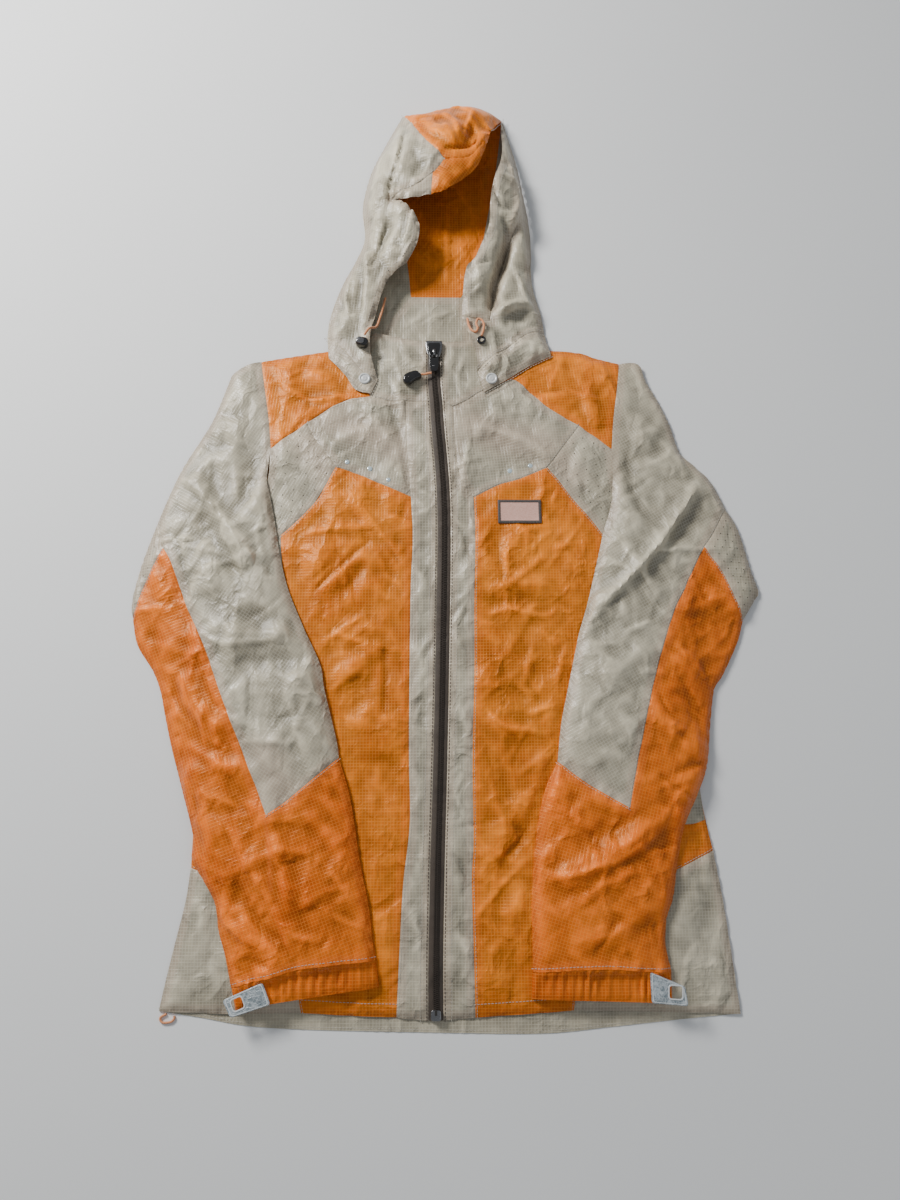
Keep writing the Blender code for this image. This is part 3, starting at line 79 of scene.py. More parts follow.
# Seams, folded edges and hems: each name holds the points that its curve passes through.
CURVES = {
    "zip_low": (
        (0, -469), (0, -415), (2, -325), (5, -229), (8, -108), (10, 0), (9, 60), (4, 125), (2, 156),
    ),
    "zip_top": ((2, 156), (0, 183), (0, 228)),
    # left front
    "placket_l": (
        (-25, 46), (-23, 0), (-25, -60), (-26, -170), (-26, -230), (-25, -290), (-31, -345), (-34, -400),
        (-37, -466),
    ),
    "placket_top_l": ((-25, 46), (-29, 100), (-31, 156)),
    "yoke_low_l": ((-105, 79), (-80, 70), (-53, 58), (-25, 46)),
    "vent_seam_l": ((-138, 130), (-125, 106), (-112, 89), (-105, 79)),
    "vent_low_l": ((-105, 79), (-122, 46), (-137, 26), (-161, 3)),
    "vent_side_l": ((-161, 3), (-200, -28), (-239, -48)),
    "shoulder_low_l": ((-70, 162), (-92, 158), (-111, 149), (-129, 136), (-138, 130)),
    "shoulder_end_l": ((-138, 130), (-155, 117), (-175, 100)),
    "shoulder_top_l": ((-191, 206), (-159, 212), (-118, 219), (-84, 223)),
    "neck_side_l": ((-84, 223), (-80, 192), (-70, 162)),
    "neck_l": ((-70, 162), (-56, 158), (-43, 156), (-31, 156)),
    "neck_front_l": ((-31, 156), (-5, 156)),
    "armhole_l": ((-191, 206), (-185, 171), (-179, 135), (-175, 100)),
    "armhole_low_l": ((-175, 100), (-178, 60), (-196, 20), (-226, -8), (-238, -14)),
    "side_vent_l": ((-238, -14), (-239, -48)),
    "side_top_l": ((-239, -48), (-239, -150), (-236, -284)),
    "side_tail_l": ((-236, -284), (-236, -330)),
    "side_low_l": ((-236, -330), (-239, -360), (-246, -395), (-253, -430), (-258, -458)),
    "tail_top_l": ((-236, -284), (-214, -288), (-180, -276), (-158, -240), (-150, -150), (-161, 3)),
    "tail_low_l": ((-236, -330), (-200, -345), (-160, -375), (-135, -420), (-126, -461)),
    "hem_front_l": ((-37, -466), (-80, -464), (-126, -461)),
    "hem_side_l": ((-126, -461), (-190, -461), (-258, -458)),
    "hem_placket_l": ((-7, -469), (-22, -468), (-37, -466)),
    # right front
    "placket_r": (
        (42, 46), (43, 0), (41, -66), (40, -140), (37, -229), (37, -306), (35, -343), (36, -410),
        (37, -467),
    ),
    "placket_top_r": ((42, 46), (29, 62), (23, 105), (21, 150)),
    "yoke_low_r": ((121, 79), (92, 66), (70, 60), (42, 46)),
    "vent_seam_r": ((158, 128), (142, 107), (128, 87), (121, 79)),
    "vent_low_r": ((121, 79), (135, 61), (150, 40), (166, 21), (178, 4)),
    "vent_side_r": ((178, 4), (212, -26), (255, -48)),
    "shoulder_low_r": ((72, 178), (87, 184), (100, 174), (111, 162), (127, 148), (158, 128)),
    "shoulder_end_r": ((158, 128), (172, 117), (192, 101)),
    "shoulder_top_r": ((207, 206), (180, 213), (158, 220), (92, 224)),
    "neck_side_r": ((92, 224), (84, 204), (72, 178)),
    "neck_r": ((72, 178), (50, 167), (34, 156), (21, 150)),
    "neck_front_r": ((21, 150), (9, 156)),
    "armhole_r": ((207, 206), (202, 173), (196, 137), (192, 101)),
    "armhole_low_r": ((192, 101), (195, 60), (212, 20), (240, -8), (254, -14)),
    "side_vent_r": ((254, -14), (255, -48)),
    "side_top_r": ((255, -48), (258, -150), (264, -255), (267, -289)),
    "side_tail_r": ((267, -289), (273, -318)),
    "side_low_r": ((273, -318), (279, -364), (284, -419), (288, -467)),
    "tail_top_r": ((267, -289), (248, -293), (205, -288), (176, -250), (170, -150), (178, 4)),
    "tail_low_r": ((273, -318), (235, -335), (190, -352), (152, -385), (134, -425), (130, -462)),
    "hem_front_r": ((37, -467), (98, -464), (130, -462)),
    "hem_side_r": ((130, -462), (205, -464), (288, -467)),
    "hem_placket_r": ((7, -469), (22, -468), (37, -467)),
    # back
    "hem_back": (
        (-258, -458), (-220, -464), (-154, -474), (4, -480), (100, -482), (166, -477), (235, -471),
        (288, -467),
    ),
    "facing_top": ((-252, -430), (-154, -444), (4, -450), (100, -452), (166, -447), (285, -430)),
    "back_side_l": ((-238, -14), (-239, -150), (-236, -330), (-245, -392), (-252, -430)),
    "back_side_r": ((254, -14), (258, -150), (264, -255), (273, -318), (280, -375), (285, -430)),
    "facing_side_l": ((-252, -430), (-258, -458)),
    "facing_side_r": ((285, -430), (288, -467)),
    "neck_out_l": ((-84, 223), (-62, 226)),
    "back_neck": ((-62, 226), (-30, 222), (6, 219), (42, 222)),
    "neck_out_r": ((42, 222), (72, 225), (92, 224)),
    # collar
    "collar_top_l": ((-7, 228), (-24, 230), (-46, 236), (-66, 240)),
    "collar_side_l": ((-66, 240), (-78, 222), (-76, 192), (-70, 162)),
    "collar_top_r": ((7, 228), (28, 229), (46, 233), (58, 232)),
    "collar_side_r": ((58, 232), (66, 215), (70, 196), (72, 178)),
    # left sleeve
    "sleeve_cap_l": ((-191, 206), (-207, 200), (-222, 190)),
    "sleeve_out_l": ((-222, 190), (-239, 138), (-253, 110), (-270, 78), (-283, 44), (-291, 20)),
    "sleeve_elbow_l": ((-291, 20), (-304, -24), (-312, -66), (-310, -84)),
    "sleeve_fore_l": (
        (-310, -84), (-303, -112), (-286, -138), (-277, -158), (-270, -185), (-261, -218), (-248, -257),
        (-234, -300), (-234, -322), (-222, -340), (-209, -362), (-204, -387), (-197, -408), (-190, -437),
    ),
    "sleeve_in_l": (
        (-175, 100), (-178, 67), (-174, 48), (-168, 20), (-163, -8), (-157, -35), (-149, -61), (-133, -98),
    ),
    "sleeve_in_mid_l": ((-133, -98), (-116, -134), (-111, -159), (-98, -209), (-95, -227)),
    "sleeve_in_low_l": ((-95, -227), (-83, -267), (-73, -324), (-64, -365), (-60, -396), (-57, -414)),
    "tip_out_l": ((-282, -11), (-290, -29), (-299, -50), (-310, -84)),
    "tip_top_l": ((-282, -11), (-288, 6), (-291, 20)),
    "tip_in_l": (
        (-282, -11), (-272, -27), (-254, -72), (-233, -113), (-216, -154), (-193, -209), (-172, -257),
        (-162, -281),
    ),
    "sleeve_v_l": ((-162, -281), (-146, -270), (-123, -251), (-95, -227)),
    "cuff_top_l": ((-190, -437), (-172, -431), (-157, -428), (-127, -420), (-90, -416), (-57, -414)),
    "under_gap_l": ((-238, -14), (-241, -52)),
    "under_in_l": ((-241, -52), (-222, -84), (-185, -104), (-133, -98)),
    "cuff_low_l": ((-186, -458), (-153, -451), (-126, -447), (-89, -442), (-53, -438)),
    # right sleeve
    "sleeve_cap_r": ((207, 206), (225, 206), (231, 201)),
    "sleeve_out_r": (
        (231, 201), (235, 186), (247, 162), (259, 132), (268, 100), (286, 82), (300, 65), (313, 36),
    ),
    "sleeve_elbow_r": ((313, 36), (325, 11), (335, -33), (341, -56), (336, -66), (322, -87)),
    "sleeve_fore_r": (
        (322, -87), (314, -111), (296, -145), (286, -160), (279, -196), (272, -236), (259, -265),
        (244, -294), (235, -325), (228, -360), (220, -380), (218, -405), (222, -427),
    ),
    "sleeve_in_r": ((192, 101), (191, 70), (188, 38), (178, 6), (172, -18), (159, -67), (147, -105)),
    "sleeve_in_mid_r": ((147, -105), (134, -160), (126, -195), (121, -232)),
    "sleeve_in_low_r": ((121, -232), (108, -259), (99, -297), (94, -335), (92, -380), (91, -426)),
    "tip_top_r": ((284, -10), (294, 4), (313, 36)),
    "tip_out_r": ((284, -10), (293, -23), (303, -39), (310, -58), (322, -87)),
    "tip_in_r": (
        (284, -10), (276, -24), (258, -58), (246, -80), (229, -125), (212, -181), (199, -231), (188, -277),
    ),
    "sleeve_v_r": ((188, -277), (162, -262), (143, -250), (121, -232)),
    "cuff_out_l": ((-190, -437), (-186, -458)),
    "cuff_in_l": ((-53, -438), (-57, -414)),
    "cuff_out_r": ((222, -427), (222, -455)),
    "cuff_in_r": ((90, -450), (91, -426)),
    "zip_foot": ((-7, -469), (7, -469)),
    "zip_head": ((-7, 228), (7, 228)),
    "cuff_top_r": ((222, -427), (200, -426), (155, -423), (91, -426)),
    "under_gap_r": ((254, -14), (258, -52)),
    "under_in_r": ((258, -52), (240, -84), (200, -110), (147, -105)),
    "cuff_low_r": ((222, -455), (200, -454), (153, -452), (90, -450)),
    # hood, upper layer
    "hood_out_l": (
        (-119, 236), (-116, 262), (-104, 300), (-89, 332), (-79, 362), (-82, 402), (-73, 448), (-57, 486),
        (-36, 530),
    ),
    "hood_top": ((-36, 530), (-16, 530), (4, 537), (30, 543), (56, 541), (82, 525)),
    "hood_out_r": (
        (124, 243), (121, 266), (113, 298), (111, 325), (112, 345), (110, 385), (104, 425), (97, 466),
        (82, 525),
    ),
    "crown_seam_l": ((-36, 530), (-26, 502), (-17, 480), (-4, 455), (13, 434)),
    "crown_seam_r": ((82, 525), (74, 506), (66, 488)),
    "brim_crease": ((13, 434), (35, 438), (48, 450), (66, 488)),
    "brim_crease_l": ((-47, 394), (-32, 401), (-15, 408), (-1, 418)),
    "brim_crease_m": ((-1, 418), (13, 434)),
    "brim_seam": ((-1, 418), (-3, 394)),
    "brim_edge_l": ((-47, 394), (-28, 391), (-3, 394)),
    "brim_edge_r": ((-3, 394), (14, 398), (32, 414), (50, 434), (62, 470), (66, 488)),
    "face_l": (
        (-47, 394), (-34, 388), (-26, 378), (-18, 364), (-16, 352), (-20, 336), (-30, 318), (-49, 303),
        (-57, 286), (-64, 262), (-70, 236), (-70, 212), (-62, 181),
    ),
    "tab_end_l": ((-62, 181), (-69, 164)),
    "tab_low_l": ((-69, 164), (-86, 169), (-97, 186), (-116, 208)),
    "base_out_l": ((-116, 208), (-119, 236)),
    "band_seam_l": ((-62, 181), (-78, 190), (-96, 212), (-119, 236)),
    "face_r": (
        (80, 504), (80, 470), (76, 445), (68, 418), (64, 390), (62, 362), (52, 338), (46, 323), (37, 314),
        (33, 290), (31, 256),
    ),
    "face_top_r": ((82, 525), (80, 504)),
    "tunnel_seam": ((82, 525), (89, 480), (95, 432), (98, 385), (86, 350), (76, 318), (68, 288), (62, 250)),
    "tunnel_end": ((31, 256), (46, 252), (62, 250)),
    "base_in_r": ((31, 256), (39, 230), (46, 212), (48, 192)),
    "band_seam_r": ((48, 192), (72, 212), (89, 224), (104, 237), (124, 243)),
    "base_out_r": ((124, 243), (130, 212)),
    "tab_low_r": ((130, 212), (105, 199), (83, 184), (54, 166)),
    "tab_end_r": ((54, 166), (48, 192)),
    # hood, layer on the floor
    "lining_l": ((-26, 289), (-30, 330), (-40, 400), (-42, 460), (-36, 530)),
    "lining_r": ((31, 289), (50, 330), (64, 400), (74, 460), (82, 525)),
    "lining_low": ((-26, 289), (31, 289)),
    "collar_back_l": ((-62, 226), (-58, 242), (-44, 266), (-26, 289)),
    "collar_back_r": ((31, 289), (38, 262), (42, 222)),
    "hood_floor_l": ((-117, 225), (-84, 229), (-62, 226)),
    "hood_floor_r": ((42, 222), (72, 231), (92, 230), (127, 227)),
    "hood_floor_out_l": ((-119, 236), (-117, 225)),
    "hood_floor_out_r": ((127, 227), (124, 243)),
}
for side, shift in (("l", -ZIP_WIDTH / 2 - SEAM / 2), ("r", ZIP_WIDTH / 2 + SEAM / 2)):
    for stretch in ("low", "top"):
        CURVES[f"zip_{stretch}_{side}"] = tuple((x + shift, y) for x, y in CURVES[f"zip_{stretch}"])

# Edges that aren't sewn to a neighbour, where a sheet comes down onto the sheet beneath it
FREE = {
    "front": [f"{edge}_{s}" for s in "lr" for edge in (
        "shoulder_top", "side_vent", "side_top", "side_tail", "side_low",
        "hem_front", "hem_side", "hem_placket")],
    "sleeve": [f"{edge}_{s}" for s in "lr" for edge in (
        "sleeve_cap", "sleeve_out", "sleeve_elbow", "sleeve_fore", "cuff_out",
        "sleeve_in", "sleeve_in_mid", "sleeve_in_low", "cuff_in")],
    "hood": ["hood_out_l", "hood_top", "hood_out_r"]
    + [f"{edge}_{s}" for s in "lr" for edge in ("base_out", "tab_low", "tab_end")],
}

# Cloth pieces: layer, material, spacing of points, and the seam curves round it, each one's end on
# the next one's start. A minus sign runs a curve backwards.
PIECES = {
    "back_panel": (
        "floor", "orange", COARSE,
        "shoulder_top_l neck_out_l back_neck neck_out_r -shoulder_top_r armhole_r armhole_low_r "
        "back_side_r -facing_top -back_side_l -armhole_low_l -armhole_l"),
    "back_facing": ("floor", "beige", COARSE, "facing_top facing_side_r -hem_back -facing_side_l"),
    "collar_back": ("floor", "beige", FINE, "back_neck -collar_back_r -lining_low -collar_back_l"),
    "hood_back": ("floor", "orange", FINE, "lining_low lining_r -hood_top -lining_l"),
    "hood_back_l": (
        "floor", "beige", COARSE, "collar_back_l lining_l -hood_out_l hood_floor_out_l hood_floor_l"),
    "hood_back_r": (
        "floor", "beige", COARSE, "hood_floor_r hood_floor_out_r hood_out_r -lining_r collar_back_r"),
    "zip_tape": ("front", "zip", FINE, "zip_low_l zip_top_l zip_head -zip_top_r -zip_low_r -zip_foot"),
    "crown": ("hood", "orange", FINE, "hood_top crown_seam_r -brim_crease -crown_seam_l"),
    "brim_r": ("hood", "orange", FINE, "brim_crease_m brim_crease -brim_edge_r -brim_seam"),
    "brim_l": ("hood", "beige", FINE, "brim_crease_l brim_seam -brim_edge_l"),
    "hood_side_l": (
        "hood", "beige", FINE,
        "hood_out_l crown_seam_l -brim_crease_m -brim_crease_l face_l band_seam_l"),
    "hood_side_r": ("hood", "beige", FINE, "-tunnel_seam -hood_out_r -band_seam_r -base_in_r tunnel_end"),
    "face_tunnel_r": ("hood", "beige", FINE, "face_top_r face_r tunnel_end -tunnel_seam"),
    "neck_band_l": ("hood", "beige", FINE, "tab_end_l tab_low_l base_out_l -band_seam_l"),
    "neck_band_r": ("hood", "beige", FINE, "band_seam_r base_out_r tab_low_r tab_end_r"),
}
PAIRS = {  # the pieces that lie on both sides; the names of their curves end in _l or _r
    "placket": ("front", "beige", FINE, "zip_low -neck_front -placket_top placket -hem_placket"),
    "yoke": ("front", "beige", FINE, "placket_top -neck shoulder_low vent_seam yoke_low"),
    "shoulder": ("front", "orange", FINE, "shoulder_top neck_side shoulder_low shoulder_end -armhole"),
    "chest_vent": (
        "front", "beige", FINE, "-vent_seam shoulder_end armhole_low side_vent -vent_side -vent_low"),
    "front": (
        "front", "orange", FINE, "yoke_low placket hem_front -tail_low -side_tail tail_top -vent_low"),
    "side_upper": ("front", "beige", COARSE, "vent_side side_top tail_top"),
    "side_lower": ("front", "beige", FINE, "side_low -hem_side -tail_low"),
    "collar": ("front", "beige", FINE, "zip_top collar_top collar_side neck neck_front"),
    "sleeve_under": (
        "under", "orange", COARSE,
        "armhole armhole_low under_gap under_in sleeve_in_mid sleeve_in_low "
        "-cuff_top -sleeve_fore -sleeve_elbow -sleeve_out -sleeve_cap"),
    "sleeve": (
        "sleeve", "beige", FINE,
        "armhole sleeve_in sleeve_in_mid -sleeve_v -tip_in tip_top -sleeve_out -sleeve_cap"),
    "elbow_vent": ("sleeve", "beige", FINE, "-tip_top tip_out -sleeve_elbow"),
    "forearm": (
        "sleeve", "orange", FINE, "tip_in sleeve_v sleeve_in_low -cuff_top -sleeve_fore -tip_out"),
}
for side in "lr":
    for name, (layer, stuff, spacing, curves) in PAIRS.items():
        around = " ".join(f"{curve}_{side}" for curve in curves.split())
        PIECES[f"{name}_{side}"] = (layer, stuff, spacing, around)

# The largest folds of each layer: half width, height (a trough is negative), and the line along the middle
FOLDS = {
    "sleeve": (
        (14, 3.0, ((-262, 75), (-231, 31), (-203, -8), (-178, -45))),
        (16, -2.5, ((-241, 20), (-214, -24), (-190, -56))),
        (14, 2.5, ((-221, 9), (-243, -24), (-259, -45))),
        (22, 3.0, ((-228, -110), (-203, -106), (-137, -104))), (26, -2.5, ((-215, -134), (-137, -129))),
        (16, -3.5, ((-269, -149), (-249, -184), (-218, -213), (-190, -233))),
        (16, 3.5, ((-259, -136), (-229, -184), (-198, -204))),
        (14, 2.5, ((-242, -228), (-225, -266), (-206, -314))),
        (18, -2.5, ((-210, -228), (-191, -267), (-168, -305))),
        (12, 3.0, ((-159, -286), (-145, -332), (-136, -378))),
        (14, -3.0, ((-197, -337), (-166, -378), (-135, -405))),
        (14, 2.5, ((-132, -272), (-97, -305), (-82, -342))),
        (14, 3.5, ((291, 73), (273, 43), (238, -2), (212, -35), (171, -72), (158, -88))),
        (18, -2.5, ((272, 21), (237, -24), (201, -65))), (12, 3.0, ((208, 106), (224, 115), (255, 125))),
        (14, -2.5, ((208, 97), (229, 95), (260, 103))), (16, 2.5, ((190, -2), (215, -40), (242, -78))),
        (24, -2.5, ((155, -117), (211, -101), (242, -80))),
        (20, 2.5, ((167, -160), (199, -130), (221, -109))), (14, 3.0, ((247, -79), (276, -72), (306, -58))),
        (18, -2.5, ((239, -135), (259, -171), (264, -205))),
        (16, 3.5, ((105, -344), (149, -333), (200, -300), (235, -278))),
        (18, -3.0, ((121, -311), (161, -302), (201, -284))),
        (14, 2.5, ((141, -405), (171, -390), (206, -368))),
    ),
    "front": (
        (16, 3.0, ((-129, -66), (-93, -34), (-70, -1))), (16, -2.0, ((-116, -66), (-88, -50), (-76, -23))),
        (12, 2.5, ((-58, 10), (-42, -14), (-29, -42))), (16, 2.0, ((-106, -159), (-76, -129), (-41, -108))),
        (18, 2.0, ((-85, -209), (-60, -184), (-30, -204))),
        (18, -2.0, ((-79, -239), (-50, -229), (-30, -244))), (18, 2.5, ((47, -55), (89, -50), (131, -53))),
        (18, -2.0, ((47, -70), (89, -67), (125, -70))), (14, 3.0, ((50, -172), (65, -198), (110, -205))),
        (12, 2.5, ((112, -205), (126, -175), (138, -150))),
        (12, 2.5, ((105, -215), (106, -249), (93, -278))), (18, 2.5, ((43, -334), (68, -292), (94, -254))),
        (18, -2.5, ((57, -344), (82, -307), (103, -274))), (18, 2.5, ((48, -420), (76, -371), (91, -335))),
        (14, 2.0, ((-107, 109), (-70, 123), (-50, 114))), (14, 2.0, ((72, 124), (104, 101), (136, 84))),
        (14, 2.5, ((165, 184), (171, 148), (184, 120))), (14, 2.0, ((-148, 200), (-120, 180), (-100, 170))),
    ),
    "hood": (
        (14, 4.0, ((-35, 500), (-34, 459), (-42, 413))), (14, -4.0, ((-25, 451), (-16, 431), (-27, 412))),
        (14, 4.0, ((7, 494), (16, 472), (28, 448))), (14, -4.0, ((48, 495), (37, 465), (32, 448))),
        (14, 4.0, ((-64, 434), (-66, 387), (-63, 355))), (14, -4.0, ((-50, 381), (-52, 355), (-60, 336))),
        (16, 4.0, ((-38, 368), (-48, 336), (-62, 304))), (14, -3.0, ((-76, 318), (-80, 287), (-91, 255))),
        (12, -8.0, ((99, 379), (84, 347), (75, 315), (67, 287), (62, 254))),
        (12, 4.0, ((66, 250), (79, 263), (93, 274), (108, 275))),
        (12, 3.0, ((41, 320), (49, 310), (47, 273))),
    ),
}
FOLD_END = 22.0  # a fold dies out over this length

# Height of the hood's upper layer in its middle, over the floor layer, at each distance up the zip line
HOOD_LOFT = (
    (150, 3), (200, 6), (240, 14), (290, 21), (340, 29), (390, 41), (440, 45), (490, 42), (545, 34),
)
HOOD_ROUND = 25.0  # how far from its folded edge the hood comes to most of that height


# Narrower and sharper creases, in the same form
CREASES = {
    "sleeve": (
        (9, 3.2, ((-253, 66), (-240, 42), (-214, 10), (-182, -41))),
        (9, -2.6, ((-221, 10), (-239, -21), (-260, -52))),
        (10, 3.0, ((-242, -98), (-215, -113), (-179, -112), (-149, -107))),
        (8, 2.0, ((-153, -145), (-140, -186), (-127, -228))),
        (9, 2.4, ((-192, -213), (-165, -211), (-137, -216))),
        (10, 3.4, ((-199, -223), (-231, -202), (-257, -179), (-272, -144))),
        (9, 2.8, ((-287, -109), (-257, -121), (-230, -126))),
        (9, 2.6, ((-198, -259), (-180, -272), (-162, -281))),
        (9, 3.4, ((148, -103), (196, -50), (242, 0), (285, 67))),
        (8, 2.4, ((185, 9), (210, -33), (239, -82))),
        (10, 3.0, ((238, -85), (203, -100), (182, -114), (148, -114))),
        (8, -3.0, ((189, 37), (212, 52), (235, 72))), (9, -3.4, ((203, 110), (208, 85), (212, 57))),
        (8, 2.4, ((201, -135), (209, -148), (216, -161))),
        (8, 2.4, ((187, -212), (197, -201), (206, -192))), (8, 2.6, ((247, -79), (275, -60), (302, -55))),
        (9, -2.8, ((222, -156), (230, -181), (247, -197))),
        (8, 2.6, ((240, -114), (262, -130), (281, -156))),
        (8, 2.6, ((251, -250), (232, -270), (218, -291))),
        (9, 3.0, ((-202, -284), (-181, -323), (-151, -365), (-128, -416))),
        (8, -2.4, ((-183, -364), (-156, -391), (-131, -416))),
        (9, 2.8, ((-196, -337), (-157, -316), (-109, -317))),
        (8, 2.6, ((-136, -372), (-104, -352), (-75, -348))),
        (8, 2.4, ((-109, -320), (-95, -340), (-82, -359))),
        (8, 2.6, ((96, -346), (138, -336), (182, -322), (222, -294))),
        (9, 2.8, ((129, -371), (160, -347), (201, -333))),
        (8, -2.6, ((180, -368), (159, -395), (141, -419))),
        (8, 2.6, ((93, -343), (106, -322), (117, -304))),
    ),
    "front": (
        (9, 3.1, ((47, -83), (79, -78), (115, -83), (132, -69))),
        (8, 2.9, ((55, -62), (80, -48), (124, -14))), (7, 3.2, ((72, -3), (74, -25), (76, -48))),
        (9, 3.1, ((50, -175), (66, -196), (111, -203))), (8, 2.9, ((83, -191), (110, -180), (130, -173))),
        (8, 2.6, ((75, -251), (92, -238), (110, -224))), (7, 3.2, ((102, -104), (93, -140), (87, -160))),
        (7, 3.2, ((136, -108), (126, -140), (120, -165))), (7, 3.2, ((134, 59), (127, 46), (119, 31))),
        (12, -3.6, ((-131, -64), (-91, -25), (-63, 2))), (9, -3.4, ((-57, 2), (-43, -18), (-31, -39))),
        (8, -2.9, ((-54, -99), (-50, -145), (-53, -190))), (8, 2.6, ((-144, 3), (-99, 10), (-52, 13))),
        (8, 2.6, ((-68, -383), (-53, -376), (-39, -370))), (8, 2.9, ((46, -332), (76, -307), (96, -279))),
        (8, -2.9, ((-54, 164), (-35, 112), (-28, 43))), (8, 2.9, ((39, 124), (31, 77), (23, 21))),
        (7, 3.2, ((-28, -23), (-11, -50), (-24, -73))), (7, 3.2, ((-23, -108), (-11, -137), (-21, -160))),
        (7, -3.2, ((-26, -190), (-13, -170), (-15, -205))),
        (7, 3.2, ((-29, -229), (-14, -258), (-25, -282))),
        (7, 3.2, ((-23, -296), (-11, -315), (-21, -345))),
        (7, 3.2, ((-32, -361), (-15, -393), (-26, -419))), (7, -3.2, ((19, 21), (35, -7), (24, -34))),
        (7, 3.2, ((32, -66), (21, -98), (33, -131))), (7, 3.2, ((19, -170), (33, -200), (22, -220))),
        (7, 3.2, ((34, -234), (20, -260), (31, -289))), (7, -3.2, ((14, -315), (31, -343), (18, -366))),
        (7, 3.2, ((19, -389), (32, -416), (23, -437))), (8, 2.9, ((-174, 182), (-135, 158), (-87, 164))),
        (8, 2.9, ((-161, 120), (-142, 137), (-124, 152))), (8, 2.9, ((139, 178), (171, 160), (196, 166))),
        (8, 2.9, ((53, 126), (104, 104), (135, 78))), (8, 2.6, ((-97, 123), (-112, 94), (-120, 65))),
        (8, 3.0, ((-51, 192), (-37, 163), (-33, 130))), (7, -2.6, ((-24, 192), (-18, 168), (-24, 144))),
        (8, 3.0, ((36, 217), (26, 185), (33, 149))), (7, 2.6, ((20, 168), (28, 154), (46, 147))),
        (8, 2.8, ((-89, 144), (-61, 130), (-39, 98))), (8, 2.8, ((78, 157), (59, 138), (39, 105))),
    ),
    "hood": (
        (9, -7.5, ((-34, 502), (-38, 453), (-50, 409), (-48, 376))),
        (8, -5.2, ((-51, 376), (-63, 332), (-77, 306))), (9, 6.0, ((-77, 349), (-75, 296), (-79, 249))),
        (8, 5.2, ((-91, 319), (-98, 282), (-92, 239))),
        (9, -7.5, ((76, 380), (84, 351), (78, 324), (66, 297), (67, 276), (59, 255))),
        (8, -6.0, ((79, 504), (64, 453), (70, 405), (79, 380))),
        (8, 6.0, ((87, 462), (95, 433), (99, 406), (90, 366), (80, 339))),
        (10, 6.8, ((67, 253), (83, 265), (106, 274), (118, 272))),
        (7, 5.4, ((8, 518), (25, 489), (31, 455))), (7, 5.4, ((50, 521), (39, 489), (32, 455))),
        (7, 5.4, ((76, 498), (54, 472), (34, 453))), (7, 5.1, ((-10, 483), (14, 463), (29, 454))),
        (8, -6.8, ((3, 447), (25, 450), (42, 458), (56, 475), (74, 495))),
        (8, 5.2, ((-21, 391), (-27, 358), (-38, 326))), (7, -4.5, ((-60, 282), (-68, 257), (-81, 227))),
        (8, 4.8, ((88, 328), (98, 296), (104, 276))), (8, 4.5, ((-106, 269), (-98, 247), (-101, 221))),
        (7, 4.0, ((-20, 351), (-33, 323), (-47, 302))),
    ),
    "floor": (
        (7, 4.0, ((15, 416), (14, 356), (13, 298))), (7, 4.0, ((-2, 321), (25, 343), (42, 366))),
        (7, 4.0, ((-16, 253), (7, 265), (32, 275))), (7, 3.5, ((-38, 247), (-18, 262), (2, 275))),
    ),
}
STEEPER = 2.8  # how much steeper a sharp crease falls on its right than on its left

# Small sharp creases scattered over each layer: how many, how high, and their main direction in degrees
SCATTERED = {
    "floor": (60, 0.5, 0), "front": (330, 1.5, 35), "sleeve": (380, 2.0, -35), "hood": (150, 2.2, 80),
}
BODY_AREA = ((-312, -470), (341, 224))  # corners of the area that they are scattered over
SCATTER_AREA = {"hood": ((-119, 166), (130, 543))}
SEEDS = {"floor": 101, "front": 211, "sleeve": 307, "hood": 401}
CRUMPLE = {"floor": 0.15, "front": 0.3, "sleeve": 0.4, "hood": 0.5}  # height of the fine crumpling
RIDGES = ((1, 11), (0.55, 6))  # and its ridges: share and width
FACETED = {"floor": 0.5, "front": 2.6, "sleeve": 3.6, "hood": 4.0}  # height of flat facets between creases
BILLOW = {"floor": 0.15, "front": 0.5, "sleeve": 0.7, "hood": 0.9}  # height of the broad unevenness
CALM_EDGE = {"front": 14, "sleeve": 12, "hood": 9}  # creases die out over this width at a folded edge

# Sewn seams whose stitches draw the cloth up: how strongly
GATHERED = {
    "placket": 0.35, "placket_top": 0.3, "yoke_low": 0.3, "vent_seam": 0.3, "vent_low": 0.35, "neck": 0.35,
    "hem_front": 0.5, "hem_placket": 0.3, "shoulder_low": 0.35, "tail_low": 0.25, "armhole": 0.5,
    "sleeve_v": 0.5, "tip_in": 0.4, "tip_out": 0.4, "tip_top": 0.4, "cuff_top": 0.9, "zip_low": 0.25,
    "zip_top": 0.2, "band_seam": 0.4, "crown_seam": 0.5, "brim_crease": 0.4, "tunnel_seam": 0.4,
    "face": 0.4, "facing_top": 0.3, "hem_back": 0.35,
}

# Where a fitting lies, the cloth is smooth: centre and radius
FITTED = (
    (-76, 181, 11), (63, 182, 11), (-79, 221, 12), (52, 225, 9), (0, 217, 15), (-24, 182, 14), (0, 196, 10),
    (-57, 269, 7), (-64, 245, 7), (40, 242, 7), (48, 246, 9), (80, 29, 14), (100, 29, 14), (0, -464, 10),
)

# The plan grid on which heights are worked out
GRID = 2.0
GRID_X = np.arange(-340.0, 372.0, GRID)
GRID_Y = np.arange(-500.0, 564.0, GRID)
PLAN = np.meshgrid(GRID_X, GRID_Y)
EDGE_REACH = 250.0  # distances to edges are measured up to this

